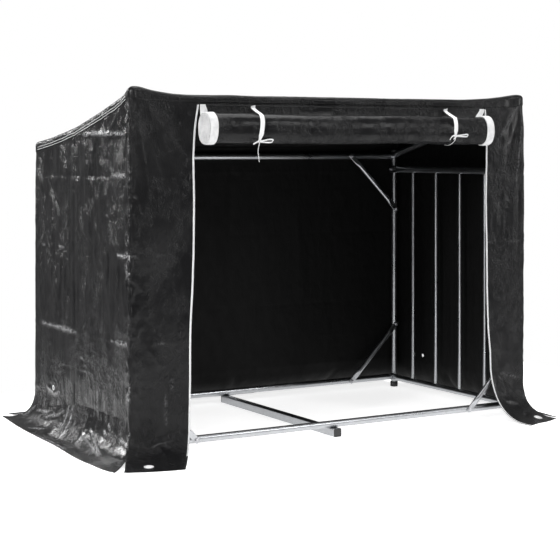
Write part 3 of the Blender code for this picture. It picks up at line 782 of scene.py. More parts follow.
skirtFolds = {
    "left": [
        ((0.30, 0.108), (0.403, 0.126), 0.005, -0.00275), ((0.39, 0.124), (0.57, 0.131), 0.005, -0.00325),
        ((0.56, 0.130), (0.84, 0.130), 0.005, -0.00225), ((0.150, 0.079), (0.280, 0.107), 0.009, -0.006),
        ((0.340, 0.118), (0.358, 0.000), 0.0055, 0.00375), ((0.375, 0.118), (0.392, 0.004), 0.005, 0.00325),
        ((0.320, 0.090), (0.185, 0.030), 0.007, 0.00375), ((0.060, 0.070), (0.042, -0.005), 0.006, 0.00325),
        ((0.085, 0.050), (0.200, 0.062), 0.006, 0.003), ((0.205, -0.055), (0.28, -0.008), 0.006, 0.0025),
        ((0.30, -0.069), (0.56, -0.065), 0.006, 0.0030), ((0.31, -0.037), (0.50, -0.016), 0.018, -0.007),
        ((0.47, -0.018), (0.72, -0.038), 0.018, -0.007), ((0.545, 0.064), (0.712, -0.016), 0.005, 0.00425),
        ((0.525, 0.030), (0.728, -0.021), 0.0048, 0.00375), ((0.765, 0.072), (0.838, 0.045), 0.006, 0.003),
        ((0.838, 0.100), (0.803, 0.030), 0.0055, 0.00325), ((0.650, 0.078), (0.685, 0.058), 0.005, 0.0025),
        ((0.675, 0.104), (0.700, 0.082), 0.005, 0.00225), ((0.12, 0.150), (0.21, 0.128), 0.006, 0.0025),
    ],
    "front": [
        ((0.03, 0.10), (0.05, 0.03), 0.008, 0.005), ((0.022, 0.054), (0.110, 0.066), 0.006, -0.0025),
        ((0.095, 0.064), (0.200, 0.088), 0.006, -0.00275), ((0.10, 0.03), (0.14, -0.04), 0.016, 0.0045),
        ((0.127, 0.215), (0.131, 0.100), 0.004, 0.002), ((0.020, 0.236), (0.120, 0.230), 0.005, -0.0016),
        ((0.150, 0.26), (0.153, 0.215), 0.004, 0.002), ((0.060, 0.370), (0.118, 0.29), 0.01, 0.0028),
        ((1.52, 0.10), (1.60, 0.06), 0.01, 0.005), ((1.55, 0.15), (1.62, 0.10), 0.009, -0.005),
        ((1.56, 0.01), (1.63, 0.02), 0.012, 0.005), ((1.51, 0.16), (1.56, 0.12), 0.008, 0.0045),
        ((1.53, 0.17), (1.63, 0.145), 0.006, 0.004),
    ],
    "right": [((0.2, 0.11), (0.26, -0.02), 0.012, 0.006), ((0.5, 0.11), (0.46, -0.02), 0.014, 0.006),
              ((0.3, -0.03), (0.7, -0.04), 0.022, -0.004)],
    "back": [((0.3, 0.11), (0.36, -0.02), 0.014, 0.006), ((0.8, 0.11), (0.76, -0.02), 0.016, 0.006),
             ((1.25, 0.11), (1.3, -0.02), 0.014, 0.006), ((0.4, -0.03), (1.3, -0.04), 0.024, -0.004)],
}


# wrinkles, as (height, cells round the cover, tallness of a cell, seed)
wrinkles = {
    "slow": (0.0030, 14, 0.42, 11),
    "tall": (0.0015, 120, 0.26, 12),
    "fine": (0.0011, 240, 0.12, 13),
    "crumple": (0.0013, 280, 0.020, 14),
    "blotch": (0.0018, 130, 0.055, 19),
    "frontCorner": (0.0075, 230, 0.030, 15),
    "tallPatches": (1.0, 40, 0.25, 21),
    "crumplePatches": (1.0, 60, 0.09, 22),
}


def hillsOf(kind, turn, h):
    _, cells, tall, seed = wrinkles[kind]
    return hills(turn * cells, h / tall, seed, cells)


def ridgesOf(kind, turn, h):
    # hills folded at zero: rounded ridges with sharp creases between them
    return wrinkles[kind][0] * (0.5 - np.abs(hillsOf(kind, turn, h)))


def fromFrontCorner(s):
    # the distance round the cover from the left front corner
    return np.minimum(s, perimeter - s)


def clothRelief(s, h):
    # wrinkles all round the cover: slow waves, upright wrinkles, crumples, and the creases from packing; they
    # are strongest on the left side and at the right edge of the front
    turn = s / perimeter
    fromLeft = np.minimum(np.abs(s - (perimeter - halfDeep)), halfDeep) / halfDeep
    strength = 0.55 + 1.15 * np.clip(1 - fromLeft, 0, 1) ** 0.4
    strength = strength + 0.7 * np.exp(-((s - 2 * halfWide + 0.06) / 0.11) ** 2)
    slow = wrinkles["slow"][0] * hillsOf("slow", turn, h)
    mask = eased(0.5 + 0.9 * hillsOf("tallPatches", turn, h))
    patchy = eased(0.35 + 1.1 * hillsOf("crumplePatches", turn, h))
    tall = ridgesOf("tall", turn, h + 1.82) * mask
    fine = ridgesOf("fine", turn, h) * (1 - 0.5 * mask)
    crumple = ridgesOf("crumple", turn, h) * patchy
    relief = slow + strength * (tall + fine + crumple + ridgesOf("blotch", turn, h))
    cornerHeight = wrinkles["frontCorner"][0]
    atCorner = np.exp(-(fromFrontCorner(s) / 0.035) ** 2)
    relief = relief + atCorner * (ridgesOf("frontCorner", turn, h) + 0.05 * cornerHeight)
    for k, (z, depth) in enumerate(levelCreases):
        z = z + 0.002 * hills(turn * 50, h * 0 + k, 16, 50)
        broken = 0.35 + 0.65 * eased(0.5 + hills(turn * 46, h * 0 + 3.3 * k, 17, 46))
        relief = relief + strength * depth * np.exp(-np.abs(h - z) / 0.0075) * broken
    return relief


def foldsOf(wall, t, h):
    # all of a wall's folds together
    extra = 0 * (t + h)
    for fold in wallFolds[wall] + skirtFolds[wall]:
        extra = extra + foldAlong(t, h, *fold)
    return extra


def fromEdges(wall, t, width):
    # 0 at a wall's upright edges and 1 from `width` on
    return eased(np.minimum(t, walls[wall][3] - t) / width)


def wallRelief(wall, t, h):
    # wrinkles and folds, held off the tubes behind: how far the cloth may go inwards is less at the corners
    start, length = walls[wall][4], walls[wall][3]
    extra = foldsOf(wall, t, h)
    if wall in ("left", "right"):
        v = length - t if wall == "left" else t
        for place, depth in uprightCreases:
            broken = eased(0.4 + 1.2 * hills(v * 0 + place * 90, h / 0.16, 18))
            extra = extra + depth * np.exp(-np.abs(v - place) / 0.006) * broken
    atCorner = cover["cornerInward"]
    inward = atCorner + (cover["inward"][wall] - atCorner) * fromEdges(wall, t, 0.03)
    relief = clothRelief((start + t) % perimeter, h) + extra * fromEdges(wall, t, cover["calm"])
    return np.maximum(relief, -inward)


def paintedGlintOf(wall, t, h):
    # where highlights are painted, 0 to 1: along the ridges of the narrow folds and the packing creases, and
    # over the crumpled front corner
    paintedGlint = np.zeros_like(t + h)
    for start, end, width, height in wallFolds[wall] + skirtFolds[wall]:
        if height > 0 and width < 0.0075:
            paintedGlint = paintedGlint + foldAlong(t, h, start, end, 0.0042, 1.0)
    for k, (z, depth) in enumerate(levelCreases):
        if depth > 0:
            broken = eased(3.0 * hills((walls[wall][4] + t) / 0.055, h * 0 + 5.1 * k, 81) - 0.6)
            paintedGlint = paintedGlint + 0.8 * np.exp(-(np.abs(h - z) / 0.0034) ** 1.5) * broken
    s = (walls[wall][4] + t) % perimeter
    atCorner = np.exp(-(fromFrontCorner(s) / 0.028) ** 2) * (0.9 if wall == "left" else 0.25)
    ridge = 1 - 3.4 * np.abs(hillsOf("frontCorner", s / perimeter, h))
    paintedGlint = paintedGlint + atCorner * np.clip(ridge, 0, 1) * eased(0.5 + hills(s * 0, h / 0.11, 83))
    return np.clip(paintedGlint, 0, 1) * cover["paintedGlint"][wall]


def cornerRadius(top, z):
    # the plan corner is rounder just under the roof's edge
    return cover["cornerLow"] + (cover["cornerTop"] - cover["cornerLow"]) * eased((z - top + 0.16) / 0.13)


def wallPlace(wall, t, z):
    # a point of the upright wall and its outward direction; near each corner the line turns on an arc
    first, along, out, length, _ = walls[wall]
    r = cornerRadius(edgeHeight(wall, t), z)
    fromStart, fromEnd = np.clip(1 - t / r, 0, 1), np.clip(1 - (length - t) / r, 0, 1)
    turn = np.pi / 4 * (fromStart - fromEnd)
    lean = np.abs(np.sin(turn))
    go = np.where(fromStart > 0, r - r * lean, np.where(fromEnd > 0, length - r + r * lean, t))
    back = -r * (1 - np.cos(turn))
    x = first[0] + along[0] * go + out[0] * back
    y = first[1] + along[1] * go + out[1] * back
    nx = out[0] * np.cos(turn) - along[0] * np.sin(turn)
    ny = out[1] * np.cos(turn) - along[1] * np.sin(turn)
    return np.stack([x, y, z + 0 * x], -1), np.stack([nx, ny, 0 * nx], -1)


# skirts: where each one ends on the ground, as (share along, x, y), the height of its crease, as (along,
# height), and how far out it turns towards the ground
skirts = {
    "left": {
        "ground": [(0, -0.895, 0.583), (0.266, -0.926, 0.28), (0.432, -0.935, 0.091), (0.5645, -0.941, -0.06),
                   (0.791, -0.958, -0.318), (0.863, -0.957, -0.400), (0.949, -0.953, -0.498),
                   (1, -0.942, -0.556)],
        "crease": [(0, 0.124), (0.84, 0.124)], "share": 0.10,
    },
    "frontLeft": {
        "ground": [(0, -0.916, -0.568), (0.30, -0.859, -0.593), (0.66, -0.790, -0.613), (1, -0.728, -0.6245)],
        "crease": [(0, 0.124), (0.03, 0.085), (0.12, 0.080), (0.25, 0.090)], "share": 0.06,
    },
    "frontRight": {
        "ground": [(0, 0.699, -0.607), (0.33, 0.762, -0.582), (0.58, 0.802, -0.575), (1, 0.881, -0.541)],
        "crease": [(1.46, 0.200), (1.54, 0.160), (1.62, 0.128), (1.65, 0.124)], "share": 0.10,
    },
    "right": {
        "ground": [(0, 0.902, -0.528), (0.3, 0.925, -0.25), (0.6, 0.930, 0.10), (0.85, 0.940, 0.38),
                   (1, 0.957, 0.560)],
        "crease": [(0, 0.124), (0.84, 0.124)], "share": 0.10,
    },
    "back": {
        "ground": [(0, 0.862, 0.618), (0.25, 0.45, 0.6225), (0.5, 0.0, 0.612), (0.75, -0.45, 0.6225),
                   (1, -0.856, 0.617)],
        "crease": [(0, 0.124), (1.65, 0.124)], "share": 0.10,
    },
}
# at a corner two skirts share one line to (x, y) on the ground, as far as the notch
corners = ((("left", 1), ("frontLeft", 0), (-0.929, -0.562, 0.64)),
           (("frontRight", 1), ("right", 0), (0.8915, -0.5345, 0.55)),
           (("right", 1), ("back", 0), (0.9095, 0.589, 0.5)),
           (("back", 1), ("left", 0), (-0.8755, 0.600, 0.5)))
cornerGround = {end: place for *pair, place in corners for end in pair}


def bend(a, c, g, q):
    # a quadratic curve from a to g, pulled towards c, and its direction
    q = q[None, :, None]
    a, c, g = a[:, None], c[:, None], g[:, None]
    place = (1 - q) ** 2 * a + 2 * q * (1 - q) * c + q**2 * g
    return place, 2 * (1 - q) * (c - a) + 2 * q * (g - c)


def skirtPlace(name, wall, t, share, q):
    # the skirt leaves the wall at its crease and runs out to its line on the ground; at a corner it shares one
    # line with its neighbour as far as the notch, and past that each goes to its own corner
    skirt = skirts[name]
    crease = curveThrough(skirt["crease"], t)
    a, out = wallPlace(wall, t, crease)
    ground = np.array(skirt["ground"])
    x, y = (curveThrough(ground[:, (0, i)], share) for i in (1, 2))
    g = np.stack([x, y, np.full_like(x, cover["lowest"])], -1)
    c = a + (g - a) * skirt["share"]
    c[:, 2] = 0.003
    place, heading = bend(a, c, g, q)
    for end in (0, 1):
        if (name, end) not in cornerGround:
            continue
        gx, gy, notch = cornerGround[(name, end)]
        edge = -1 if end else 0
        a0 = wallPlace(wall, t[[edge]], crease[[edge]])[0]
        g0 = np.array([[gx, gy, cover["lowest"]]])
        c0 = a0 + (g0 - a0) * 0.06
        c0[:, 2] = 0.003
        shared, sharedHeading = bend(a0, c0, g0, q)
        away = np.abs(t - t[edge])[:, None]
        own = np.maximum(eased(away / 0.07), eased((q[None] - notch) / (1 - notch)) ** 0.6)[..., None]
        sameWall = (a - a0)[:, None] * (1 - q[None, :, None] * 0)
        place = place * own + (shared + sameWall * (1 - eased(q / 0.5))[None, :, None]) * (1 - own)
        heading = heading * own + sharedHeading * (1 - own)
    flat = np.stack([heading[..., 0], heading[..., 1]], -1)
    run = np.linalg.norm(flat, axis=-1, keepdims=True)
    normal = unit(np.concatenate([unit(flat) * np.maximum(-heading[..., 2:], 0), run], -1))
    turn = eased(q / 0.25)[None, :, None]
    normal = unit(out[:, None] * (1 - turn) + normal * turn)
    return place, normal, crease


def skirtRelief(wall, t, h, q):
    # the wall's wrinkles dying away, its folds, and a flutter half way down
    start = walls[wall][4]
    relief = clothRelief((start + t) % perimeter, h) * (1 - 0.6 * q)
    flutter = 0.0022 * hills((start + t) / 0.05, h / 0.14, 31) * np.sin(np.pi * np.clip(q, 0, 1))
    return relief + (foldsOf(wall, t, h) + flutter) * fromEdges(wall, t, cover["calm"])


def hemAt(q):
    # the thicker hem along a skirt's last stretch
    return cover["hem"] * eased((q - 0.86) / 0.02)


def wallGrid(name, wall, columns):
    # points, UV metres, outward directions and painted crease highlights of one wall with its skirt; `columns`
    # gives each column's place along the wall at a height, because the edge at the opening is curved
    rows = np.linspace(0, 1, cover["wallRows"])
    q = np.linspace(0, 1, cover["skirtRows"])[1:]
    t = columns(np.full(1, cover["crease"]))[:, 0]
    crease = curveThrough(skirts[name]["crease"], t)
    top = seamHeight(wall, t) + cover["tuck"]
    z = top[:, None] + (crease - top)[:, None] * rows[None]
    along = columns(z)
    place, out = wallPlace(wall, along, z)
    place = place + out * wallRelief(wall, along, z)[..., None]
    base = along[:, -1]
    share = (base - base[0]) / (base[-1] - base[0])
    low, lowOut, crease = skirtPlace(name, wall, base, share, q)
    h = crease[:, None] - cover["skirtTall"] * q[None]
    tall = base[:, None] + 0 * h
    low = low + lowOut * (skirtRelief(wall, tall, h, q[None] + 0 * h) + hemAt(q))[..., None]
    low[..., 2] = np.maximum(low[..., 2], cover["lowest"])
    uv = np.concatenate([np.stack([along, z], -1), np.stack([tall, h], -1)], 1)
    points, normals = np.concatenate([place, low], 1), np.concatenate([out, lowOut], 1)
    return points, uv, normals, paintedGlintOf(wall, uv[..., 0], uv[..., 1])


# the opening's edges, as (height, distance along the front wall)
openingLeft = [(0.09, 0.2180), (0.25, 0.2205), (0.40, 0.2210), (0.55, 0.2290), (0.68, 0.2335), (0.85, 0.2355),
               (1.00, 0.2340), (1.07, 0.2380), (1.115, 0.2435), (1.17, 0.2530)]
openingRight = [(0.19, 1.4850), (0.25, 1.4820), (0.34, 1.4725), (0.50, 1.4665), (0.66, 1.4635), (0.85, 1.4600),
                (1.03, 1.4640), (1.10, 1.4620), (1.17, 1.4560)]
flapCount = {"left": 46, "right": 38}     # columns of each flap


# how far along the wall each column stands at height z
def evenColumns(length, count):
    return lambda z: (length * np.linspace(0, 1, count))[:, None] + 0 * np.atleast_2d(z)


def flapColumns(side):
    # from the corner to the opening's curved edge
    share = np.linspace(0, 1, flapCount[side])[:, None]
    if side == "left":
        return lambda z: share * curveThrough(openingLeft, np.atleast_2d(z))
    edge = lambda z: curveThrough(openingRight, np.atleast_2d(z))
    return lambda z: edge(z) + share * (2 * halfWide - edge(z))


def punchHole(points, faces, place, radius):
    # takes away the faces whose middle lies within the radius, for an eyelet to fill
    middles = points.reshape(-1, 3)[faces].mean(1)
    return faces[np.linalg.norm(middles - place, axis=1) > radius]


eyelets = {
    "front": {"inner": 0.0090, "outer": 0.0168, "proud": 0.0014, "hole": 0.0125},
    "side": {"inner": 0.0050, "outer": 0.0088, "proud": 0.0012, "hole": 0.0068},
}


def makeEyelet(kind, place, normal, replaced):
    # a rolled ring: a rounded lip turned about the hole on both faces of the cloth
    size = eyelets[kind]
    mid, half = (size["inner"] + size["outer"]) / 2, (size["outer"] - size["inner"]) / 2
    turn = np.linspace(0, 2 * np.pi, 17)[:-1]
    lip = size["proud"] * np.sin(turn) * (0.75 + 0.25 * np.cos(turn + 2.6))
    profile = np.stack([mid + half * np.cos(turn), lip], 1)
    normal = unit(np.asarray(normal, float))
    guide = np.array([0.37, 0.21, 0.9])
    across = unit(np.cross(guide, normal))
    up = np.cross(normal, across)
    around = 2 * np.pi * np.arange(40) / 40
    ring = across * np.cos(around)[:, None] + up * np.sin(around)[:, None]
    points = place + ring[:, None] * profile[None, :, :1] + normal * profile[None, :, 1:]
    shape = (points, gridFaces(40, 16, True, True))
    name = replaced.replace("_", ".")
    turnOut(makePiece(name, [shape], [eyeletMetal], "cover", [replaced]))


def surfaceAt(points, normals, part):
    # the cloth's point nearest to a part, and its outward direction there
    flat, directions = points.reshape(-1, 3), normals.reshape(-1, 3)
    i = np.argmin(np.linalg.norm((flat - middle(part)) * (1, 1, 0.2), axis=1))
    return flat[i].copy(), directions[i]


def clothPiece(name, points, replaced, uv):
    # a sheet with the coated face out and the shaded lining in: its darker colour is painted shade
    return makePiece(name, [(points, gridFaces(*points.shape[:2]))], [tarp, shadedLining], "cover",
                     [replaced], uv, 0, cover["sheet"])


def makeWalls():
    # each wall with its skirt, and an eyelet where the cloth is punched
    jobs = (
        ("cover.left", "left", "left", evenColumns(2 * halfDeep, 170), "cover_left_side", "eyelet_side_left"),
        ("cover.right", "right", "right", evenColumns(2 * halfDeep, 130), "cover_right_side",
         "eyelet_side_right"),
        ("cover.back", "back", "back", evenColumns(2 * halfWide, 190), "cover_back", None),
        ("cover.flap.left", "frontLeft", "front", flapColumns("left"), "cover_front_left_flap",
         "eyelet_front_left"),
        ("cover.flap.right", "frontRight", "front", flapColumns("right"), "cover_front_right_flap",
         "eyelet_front_right"),
    )
    for piece, name, wall, columns, replaced, eyelet in jobs:
        points, uv, normals, paintedGlint = wallGrid(name, wall, columns)
        faces = gridFaces(*points.shape[:2])
        if eyelet:
            kind = "front" if "front" in eyelet else "side"
            place, normal = surfaceAt(points, normals, eyelet)
            faces = punchHole(points, faces, place, eyelets[kind]["hole"])
            makeEyelet(kind, place + normal * 0.0002, normal, eyelet)
        # each wall's mesh carries the painted crease highlights, and its darker lining is painted shade
        makePiece(piece, [(points, faces)], [tarp, shadedLining], "cover", [replaced], uv,
                               0, cover["sheet"], paintedGlint)


def makeHeader():
    # the strip of front wall over the opening, between the two flaps
    share = np.linspace(0, 1, 190)
    left, right = (curveThrough(edge, np.array([1.15])) for edge in (openingLeft, openingRight))
    top = seamHeight("front", left + (right - left) * share) + cover["tuck"]
    z = top[:, None] + (headerLow + 0.002 - top)[:, None] * np.linspace(0, 1, 14)[None]
    left, right = (curveThrough(edge, z) for edge in (openingLeft, openingRight))
    along = left + (right - left) * share[:, None]
    place, out = wallPlace("front", along, z)
    points = place + out * wallRelief("front", along, z)[..., None]
    header = clothPiece("cover.header", points, "cover_header", np.stack([along, z], -1))


roof = {
    "sag": 0.016,
    "overPost": {"front": 0.0024, "back": 0.003},     # how far it stands off the tubes under it
    "overRail": 0.0024,
    "columns": (170, 90),
    "lapRows": 14,
}


def roofHeight(x, y):
    # between the four edge lines, sagging a little, and lifted over each post's top and over the front rail
    a, b = np.clip((x + halfWide) / (2 * halfWide), 0, 1), np.clip((y + halfDeep) / (2 * halfDeep), 0, 1)
    side = curveThrough(sideEdge, b * 2 * halfDeep)
    front = curveThrough(frontEdge, a * 2 * halfWide - halfWide)
    back = curveThrough(backEdge, a * 2 * halfWide - halfWide)
    corners = (1 - b) * frontEdge[0][1] + b * backEdge[0][1]
    z = side + (1 - b) * front + b * back - corners
    z = z - roof["sag"] * np.sin(np.pi * a) ** 0.8 * np.sin(np.pi * b)
    for end, lift in roof["overPost"].items():
        post = middle(f"post_{end}_right")
        top = lowHigh(f"post_{end}_right")[1][2] + lift
        for sign in (-1, 1):
            off = np.maximum(np.hypot(x - sign * post[0], y - post[1]) - 0.015, 0)
            z = np.maximum(z, top - 0.6 * off - 4 * off**2)
    fromRail = np.maximum(np.abs(y - frontTop[1]) - 0.008, 0)
    overRail = frontTop[2] + tube["radius"] + roof["overRail"] - 0.5 * fromRail + 0 * x
    overRail = np.where(np.abs(x) < postX, overRail, 0)
    z = (z + overRail + np.sqrt((z - overRail) ** 2 + 0.001**2)) / 2
    return z + 0.0010 * hills(x / 0.11, y / 0.05, 41) + 0.0008 * (0.5 - np.abs(hills(x / 0.03, y / 0.02, 42)))


def makeRoof():
    # Inside its inner rectangle the sheet is at the roof's height. Outside, the distance over the edge is spent
    # on a flat run, a quarter turn and a straight drop. A corner's square is bent into a quarter circle: the
    # greater of its two distances is the drop, and their ratio is the turn.
    r, e = cover["cornerTop"], cover["roofEdgeR"]
    wide, deep = halfWide + cover["lap"] - r, halfDeep + cover["lap"] - r
    rows = roof["lapRows"]
    over = np.linspace(0, 1, rows + 1)[1:]
    x, y = (np.r_[np.full(rows, -half), np.linspace(-half, half, n), np.full(rows, half)]
            for half, n in zip((wide, deep), roof["columns"]))
    overX, overY = (np.r_[-over[::-1], np.zeros(n), over] for n in roof["columns"])
    x, y = np.meshgrid(x, y, indexing="ij")
    overX, overY = np.meshgrid(overX, overY, indexing="ij")
    absX, absY = np.abs(overX), np.abs(overY)
    m = np.maximum(absX, absY)
    safe = np.maximum(m, 1e-9)
    turn = np.where(absX >= absY, np.pi / 4 * absY / safe, np.pi / 2 - np.pi / 4 * absX / safe)
    outX = np.where(m > 0, np.cos(turn) * np.sign(overX), 0)
    outY = np.where(m > 0, np.sin(turn) * np.sign(overY), 0)
    # how far down the lap ends, measured on the wall that this point faces
    t = {"front": x + halfWide, "right": y + halfDeep, "back": halfWide - x, "left": halfDeep - y}
    facing = np.where(absY >= absX, np.where(overY < 0, 0, 2), np.where(overX > 0, 1, 3))
    onWalls = [facing == k for k in range(4)]
    inCorner = (absX > 0) & (absY > 0)
    cornerShare = np.clip(r / 2 * (1 - np.minimum(absX, absY) / safe), 0, None)
    for n in t:
        length = walls[n][3]
        near = np.where(t[n] < length / 2, cornerShare, length - cornerShare)
        t[n] = np.where(inCorner, near, t[n])
    drop = np.select(onWalls, [edgeHeight(n, t[n]) - seamHeight(n, t[n]) for n in t])
    d = m * ((r - e) + e * np.pi / 2 + (drop - e))
    bendAt = np.clip((d - (r - e)) / e, 0, np.pi / 2)
    reach = np.minimum(d, r - e) + e * np.sin(bendAt)
    fall = e * (1 - np.cos(bendAt)) + np.maximum(d - (r - e) - e * np.pi / 2, 0)
    z = roofHeight(x + outX * reach, y + outY * reach) - fall
    reach = reach + np.select(onWalls, [wallRelief(n, t[n], z) for n in t]) * np.sin(bendAt)
    points = np.stack([x + outX * reach, y + outY * reach, z], -1)
    uv = np.stack([x + overX * 0.05, y + overY * 0.05], -1)
    faces = gridFaces(*points.shape[:2])[:, ::-1]
    # the roof's inner face gets the darker lining, which is painted shade
    sheet = makePiece("cover.roof", [(points, faces)], [tarp, shadedLining], "cover", ["cover_roof"], uv,
                      0, cover["sheet"])


def stitchShapes(path, outward, pitch, length, thick):
    # small rounded stitches laid end to end along a line: one stitch's points, turned and moved to each place
    step = np.linalg.norm(np.diff(path, axis=0), axis=1)
    run = np.r_[0, np.cumsum(step)]
    at = np.arange(pitch / 2, run[-1], pitch)
    centre = np.stack([np.interp(at, run, path[:, i]) for i in range(3)], 1)
    ahead = np.stack([np.interp(at + 0.001, run, path[:, i]) for i in range(3)], 1)
    normal = unit(np.stack([np.interp(at, run, outward[:, i]) for i in range(3)], 1))
    along = unit(ahead - centre + 1e-9)
    across = np.cross(normal, along)
    rings = np.array([(-0.36, 0.8), (0.0, 1.0), (0.36, 0.8)])       # (place along the stitch, radius)
    turn = np.array([0.25, 0.75, 1.25, 1.75]) * np.pi
    radius = np.repeat(rings[:, 1], 4)
    ringPoints = np.stack([np.repeat(rings[:, 0] * length, 4), np.tile(np.cos(turn), 3) * radius * thick,
                           np.tile(np.sin(turn), 3) * radius * thick], 1)
    local = np.vstack([ringPoints, [[-0.5 * length, 0, -thick], [0.5 * length, 0, -thick]]])
    points = (centre[:, None] + along[:, None] * local[None, :, :1] + across[:, None] * local[None, :, 1:2]
              + normal[:, None] * local[None, :, 2:])
    j = np.arange(4)
    k = (j + 1) % 4
    quads = np.concatenate([np.stack([j + 4 * i, k + 4 * i, k + 4 * i + 4, j + 4 * i + 4], 1) for i in (0, 1)])
    tris = np.concatenate([np.stack([k, j, np.full(4, 12)], 1), np.stack([8 + j, 8 + k, np.full(4, 13)], 1)])
    shift = len(local) * np.arange(len(centre))[:, None, None]
    quads, tris = (quads[None] + shift).reshape(-1, 4), (tris[None] + shift).reshape(-1, 3)
    return points, quads.tolist() + tris.tolist()


seam = {"rows": (0.0040, 0.0130), "fromCorner": 0.035, "proud": 0.0004, "pitch": 0.0062,
        "pale": (0.0048, 0.0012), "dark": (0.0046, 0.0004)}     # length and half thickness of a stitch


def makeSeams():
    # two rows of stitching along the roof's lap down each side, in pale thread that paints the highlight on the
    # seam's ridge, and one dark row in front and behind
    pale, dark = [], []
    for wall in walls:
        t = np.linspace(seam["fromCorner"], walls[wall][3] - seam["fromCorner"], 260)
        onSide = wall in ("left", "right")
        for above in seam["rows"] if onSide else seam["rows"][:1]:
            z = seamHeight(wall, t) + above
            place, out = wallPlace(wall, t, z)
            place = place + out * (wallRelief(wall, t, z) + cover["lap"] + seam["proud"])[:, None]
            stitch = seam["pale"] if onSide else seam["dark"]
            (pale if onSide else dark).append(stitchShapes(place, out, seam["pitch"], *stitch))
    makePiece("seam.stitches.sides", pale, [paleThreadAndSeamGlint], "cover", sharp=0)
    makePiece("seam.stitches.front.back", dark, [darkThread], "cover", sharp=0)


makeWalls()
makeHeader()
makeRoof()
makeSeams()
print("cover made")


# zip tapes along the opening's edges

tape = {"width": 0.0062, "proud": 0.0013, "thick": 0.0008, "top": 1.163, "end": {"left": 0.62, "right": 1.0}}

# the teeth and the sewing on it: (from the free edge, above the tape), and (pitch, length, half thickness)
tapeLines = (((0.0008, 0.0009), (0.0024, 0.0015, 0.0009)),
             ((tape["width"] - 0.0016, 0.0003), (0.0050, 0.0036, 0.00035)))


def flapLine(side, inward, lift):
    # a line down a flap, `inward` from its free edge and `lift` proud of it, and on along its skirt
    name, edge = ("frontLeft", openingLeft) if side == "left" else ("frontRight", openingRight)
    sign = -1 if side == "left" else 1
    crease = curveThrough(skirts[name]["crease"], curveThrough(edge, np.array([0.1])))
    z = np.linspace(tape["top"], crease[0], 150)
    t = curveThrough(edge, z) + sign * inward
    place, out = wallPlace("front", t, z)
    place = place + out * (wallRelief("front", t, z) + lift)[:, None]
    # on the skirt, each point is read between the flap's own columns
    q = np.linspace(0, tape["end"][side], 26)[1:]
    free = curveThrough(edge, crease)[0]
    columns = np.linspace(*((0.0, free) if side == "left" else (free, 2 * halfWide)), flapCount[side])
    share = (columns - columns[0]) / (columns[-1] - columns[0])
    low, lowOut, _ = skirtPlace(name, "front", columns, share, q)
    pick = free + sign * inward
    between = lambda grid: np.stack([[np.interp(pick, columns, grid[:, j, i]) for j in range(len(q))]
                                     for i in range(3)], 1)
    row, rowOut = between(low), unit(between(lowOut))
    h = crease[0] - cover["skirtTall"] * q
    row = row + rowOut * (skirtRelief("front", np.full_like(h, pick), h, q) + hemAt(q) + lift)[:, None]
    row[:, 2] = np.maximum(row[:, 2], cover["lowest"] + lift)
    return np.vstack([place, row]), np.vstack([out, rowOut])


def makeTapes():
    # a strip of seven lines, a little higher in the middle, with teeth along the free edge and sewn down inside
    for side in ("left", "right"):
        inward = np.linspace(tape["width"], -0.0006, 7)
        dome = 0.0005 * np.sin(np.pi * np.linspace(0, 1, 7))
        points = np.stack([flapLine(side, i, tape["proud"] + d)[0] for i, d in zip(inward, dome)], 0)
        if side == "right":
            points = points[::-1]
        faces = gridFaces(*points.shape[:2])
        makePiece(f"zip.tape.{side}", [(points, faces)], [whiteTape], "cover", [f"zip_tape_{side}"],
                  None, 0, tape["thick"])
        rows = [stitchShapes(*flapLine(side, inward, tape["proud"] + above), *stitch)
                for (inward, above), stitch in tapeLines]
        makePiece(f"zip.teeth.{side}", rows, [zipTeeth], "cover", sharp=0)


makeTapes()
print("zip tapes made")


# rolled door, its white ends, its curtain and its ties

roll = {
    "y": (bandLow[1] + bandHigh[1]) / 2, "z": 1.0835, "halfDeep": 0.0395, "halfTall": 0.0505,
    "left": bandLow[0], "right": bandHigh[0], "bandWidth": 0.030, "bandProud": 0.0038, "tieDent": 0.0025,
    "inset": 0.002, "sides": 72, "bandSides": 96, "layers": 8.5,
}
tieAt = (-0.378, 0.440)


def thinned(piece, out=0.004, keep=0.35):
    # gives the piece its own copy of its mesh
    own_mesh(piece)


def rollPlace(x, turn, proud=0.0):
    # an oval about the roll's axis, a little flat at the back, pinched under the ties, with slack wrinkles
    power = 2.15
    c, s = np.cos(turn), np.sin(turn)
    r = (np.abs(c) ** power + np.abs(s) ** power) ** (-1 / power)
    dent = sum(np.exp(-((x - at) / 0.018) ** 2) for at in tieAt) * roll["tieDent"]
    slack = 0.0011 * hills(x / 0.16, turn / 0.55, 51)
    slack = slack + 0.0008 * (0.5 - np.abs(hills(x / 0.035, turn / 0.3, 52)))
    hem = 0.0014 * eased((np.sin(turn + 0.45) - 0.985) / 0.015)
    y = roll["y"] - (roll["halfDeep"] + proud + slack - dent + hem) * r * c
    droop = 0.0012 * np.sin(2 * np.pi * (x - roll["left"]) / 0.62)
    z = roll["z"] + droop + (roll["halfTall"] + proud + slack - dent) * r * s
    return np.stack([x + 0 * y, y, z], -1)


def makeRoll():
    # the oval carried along the roll, with its two ends closed
    x = np.linspace(roll["left"] + roll["inset"], roll["right"] - roll["inset"], 300)
    turn = 2 * np.pi * np.arange(roll["sides"]) / roll["sides"]
    points = rollPlace(x[:, None], turn[None])
    uv = np.stack(np.meshgrid(x, turn * 0.045, indexing="ij"), -1)
    poles = [[end, roll["y"], roll["z"]] for end in (x[0], x[-1])]
    faces = [face[::-1] for face in cappedFaces(len(x), roll["sides"])]
    points, uv = np.vstack([points.reshape(-1, 3), poles]), np.vstack([uv.reshape(-1, 2), [[0, 0], [0, 0]]])
    piece = makePiece("door.roll", [(points, faces)], [tarp], "door", ["door_roll"], uv, 60)
    turnOut(piece)
    thinned(piece)


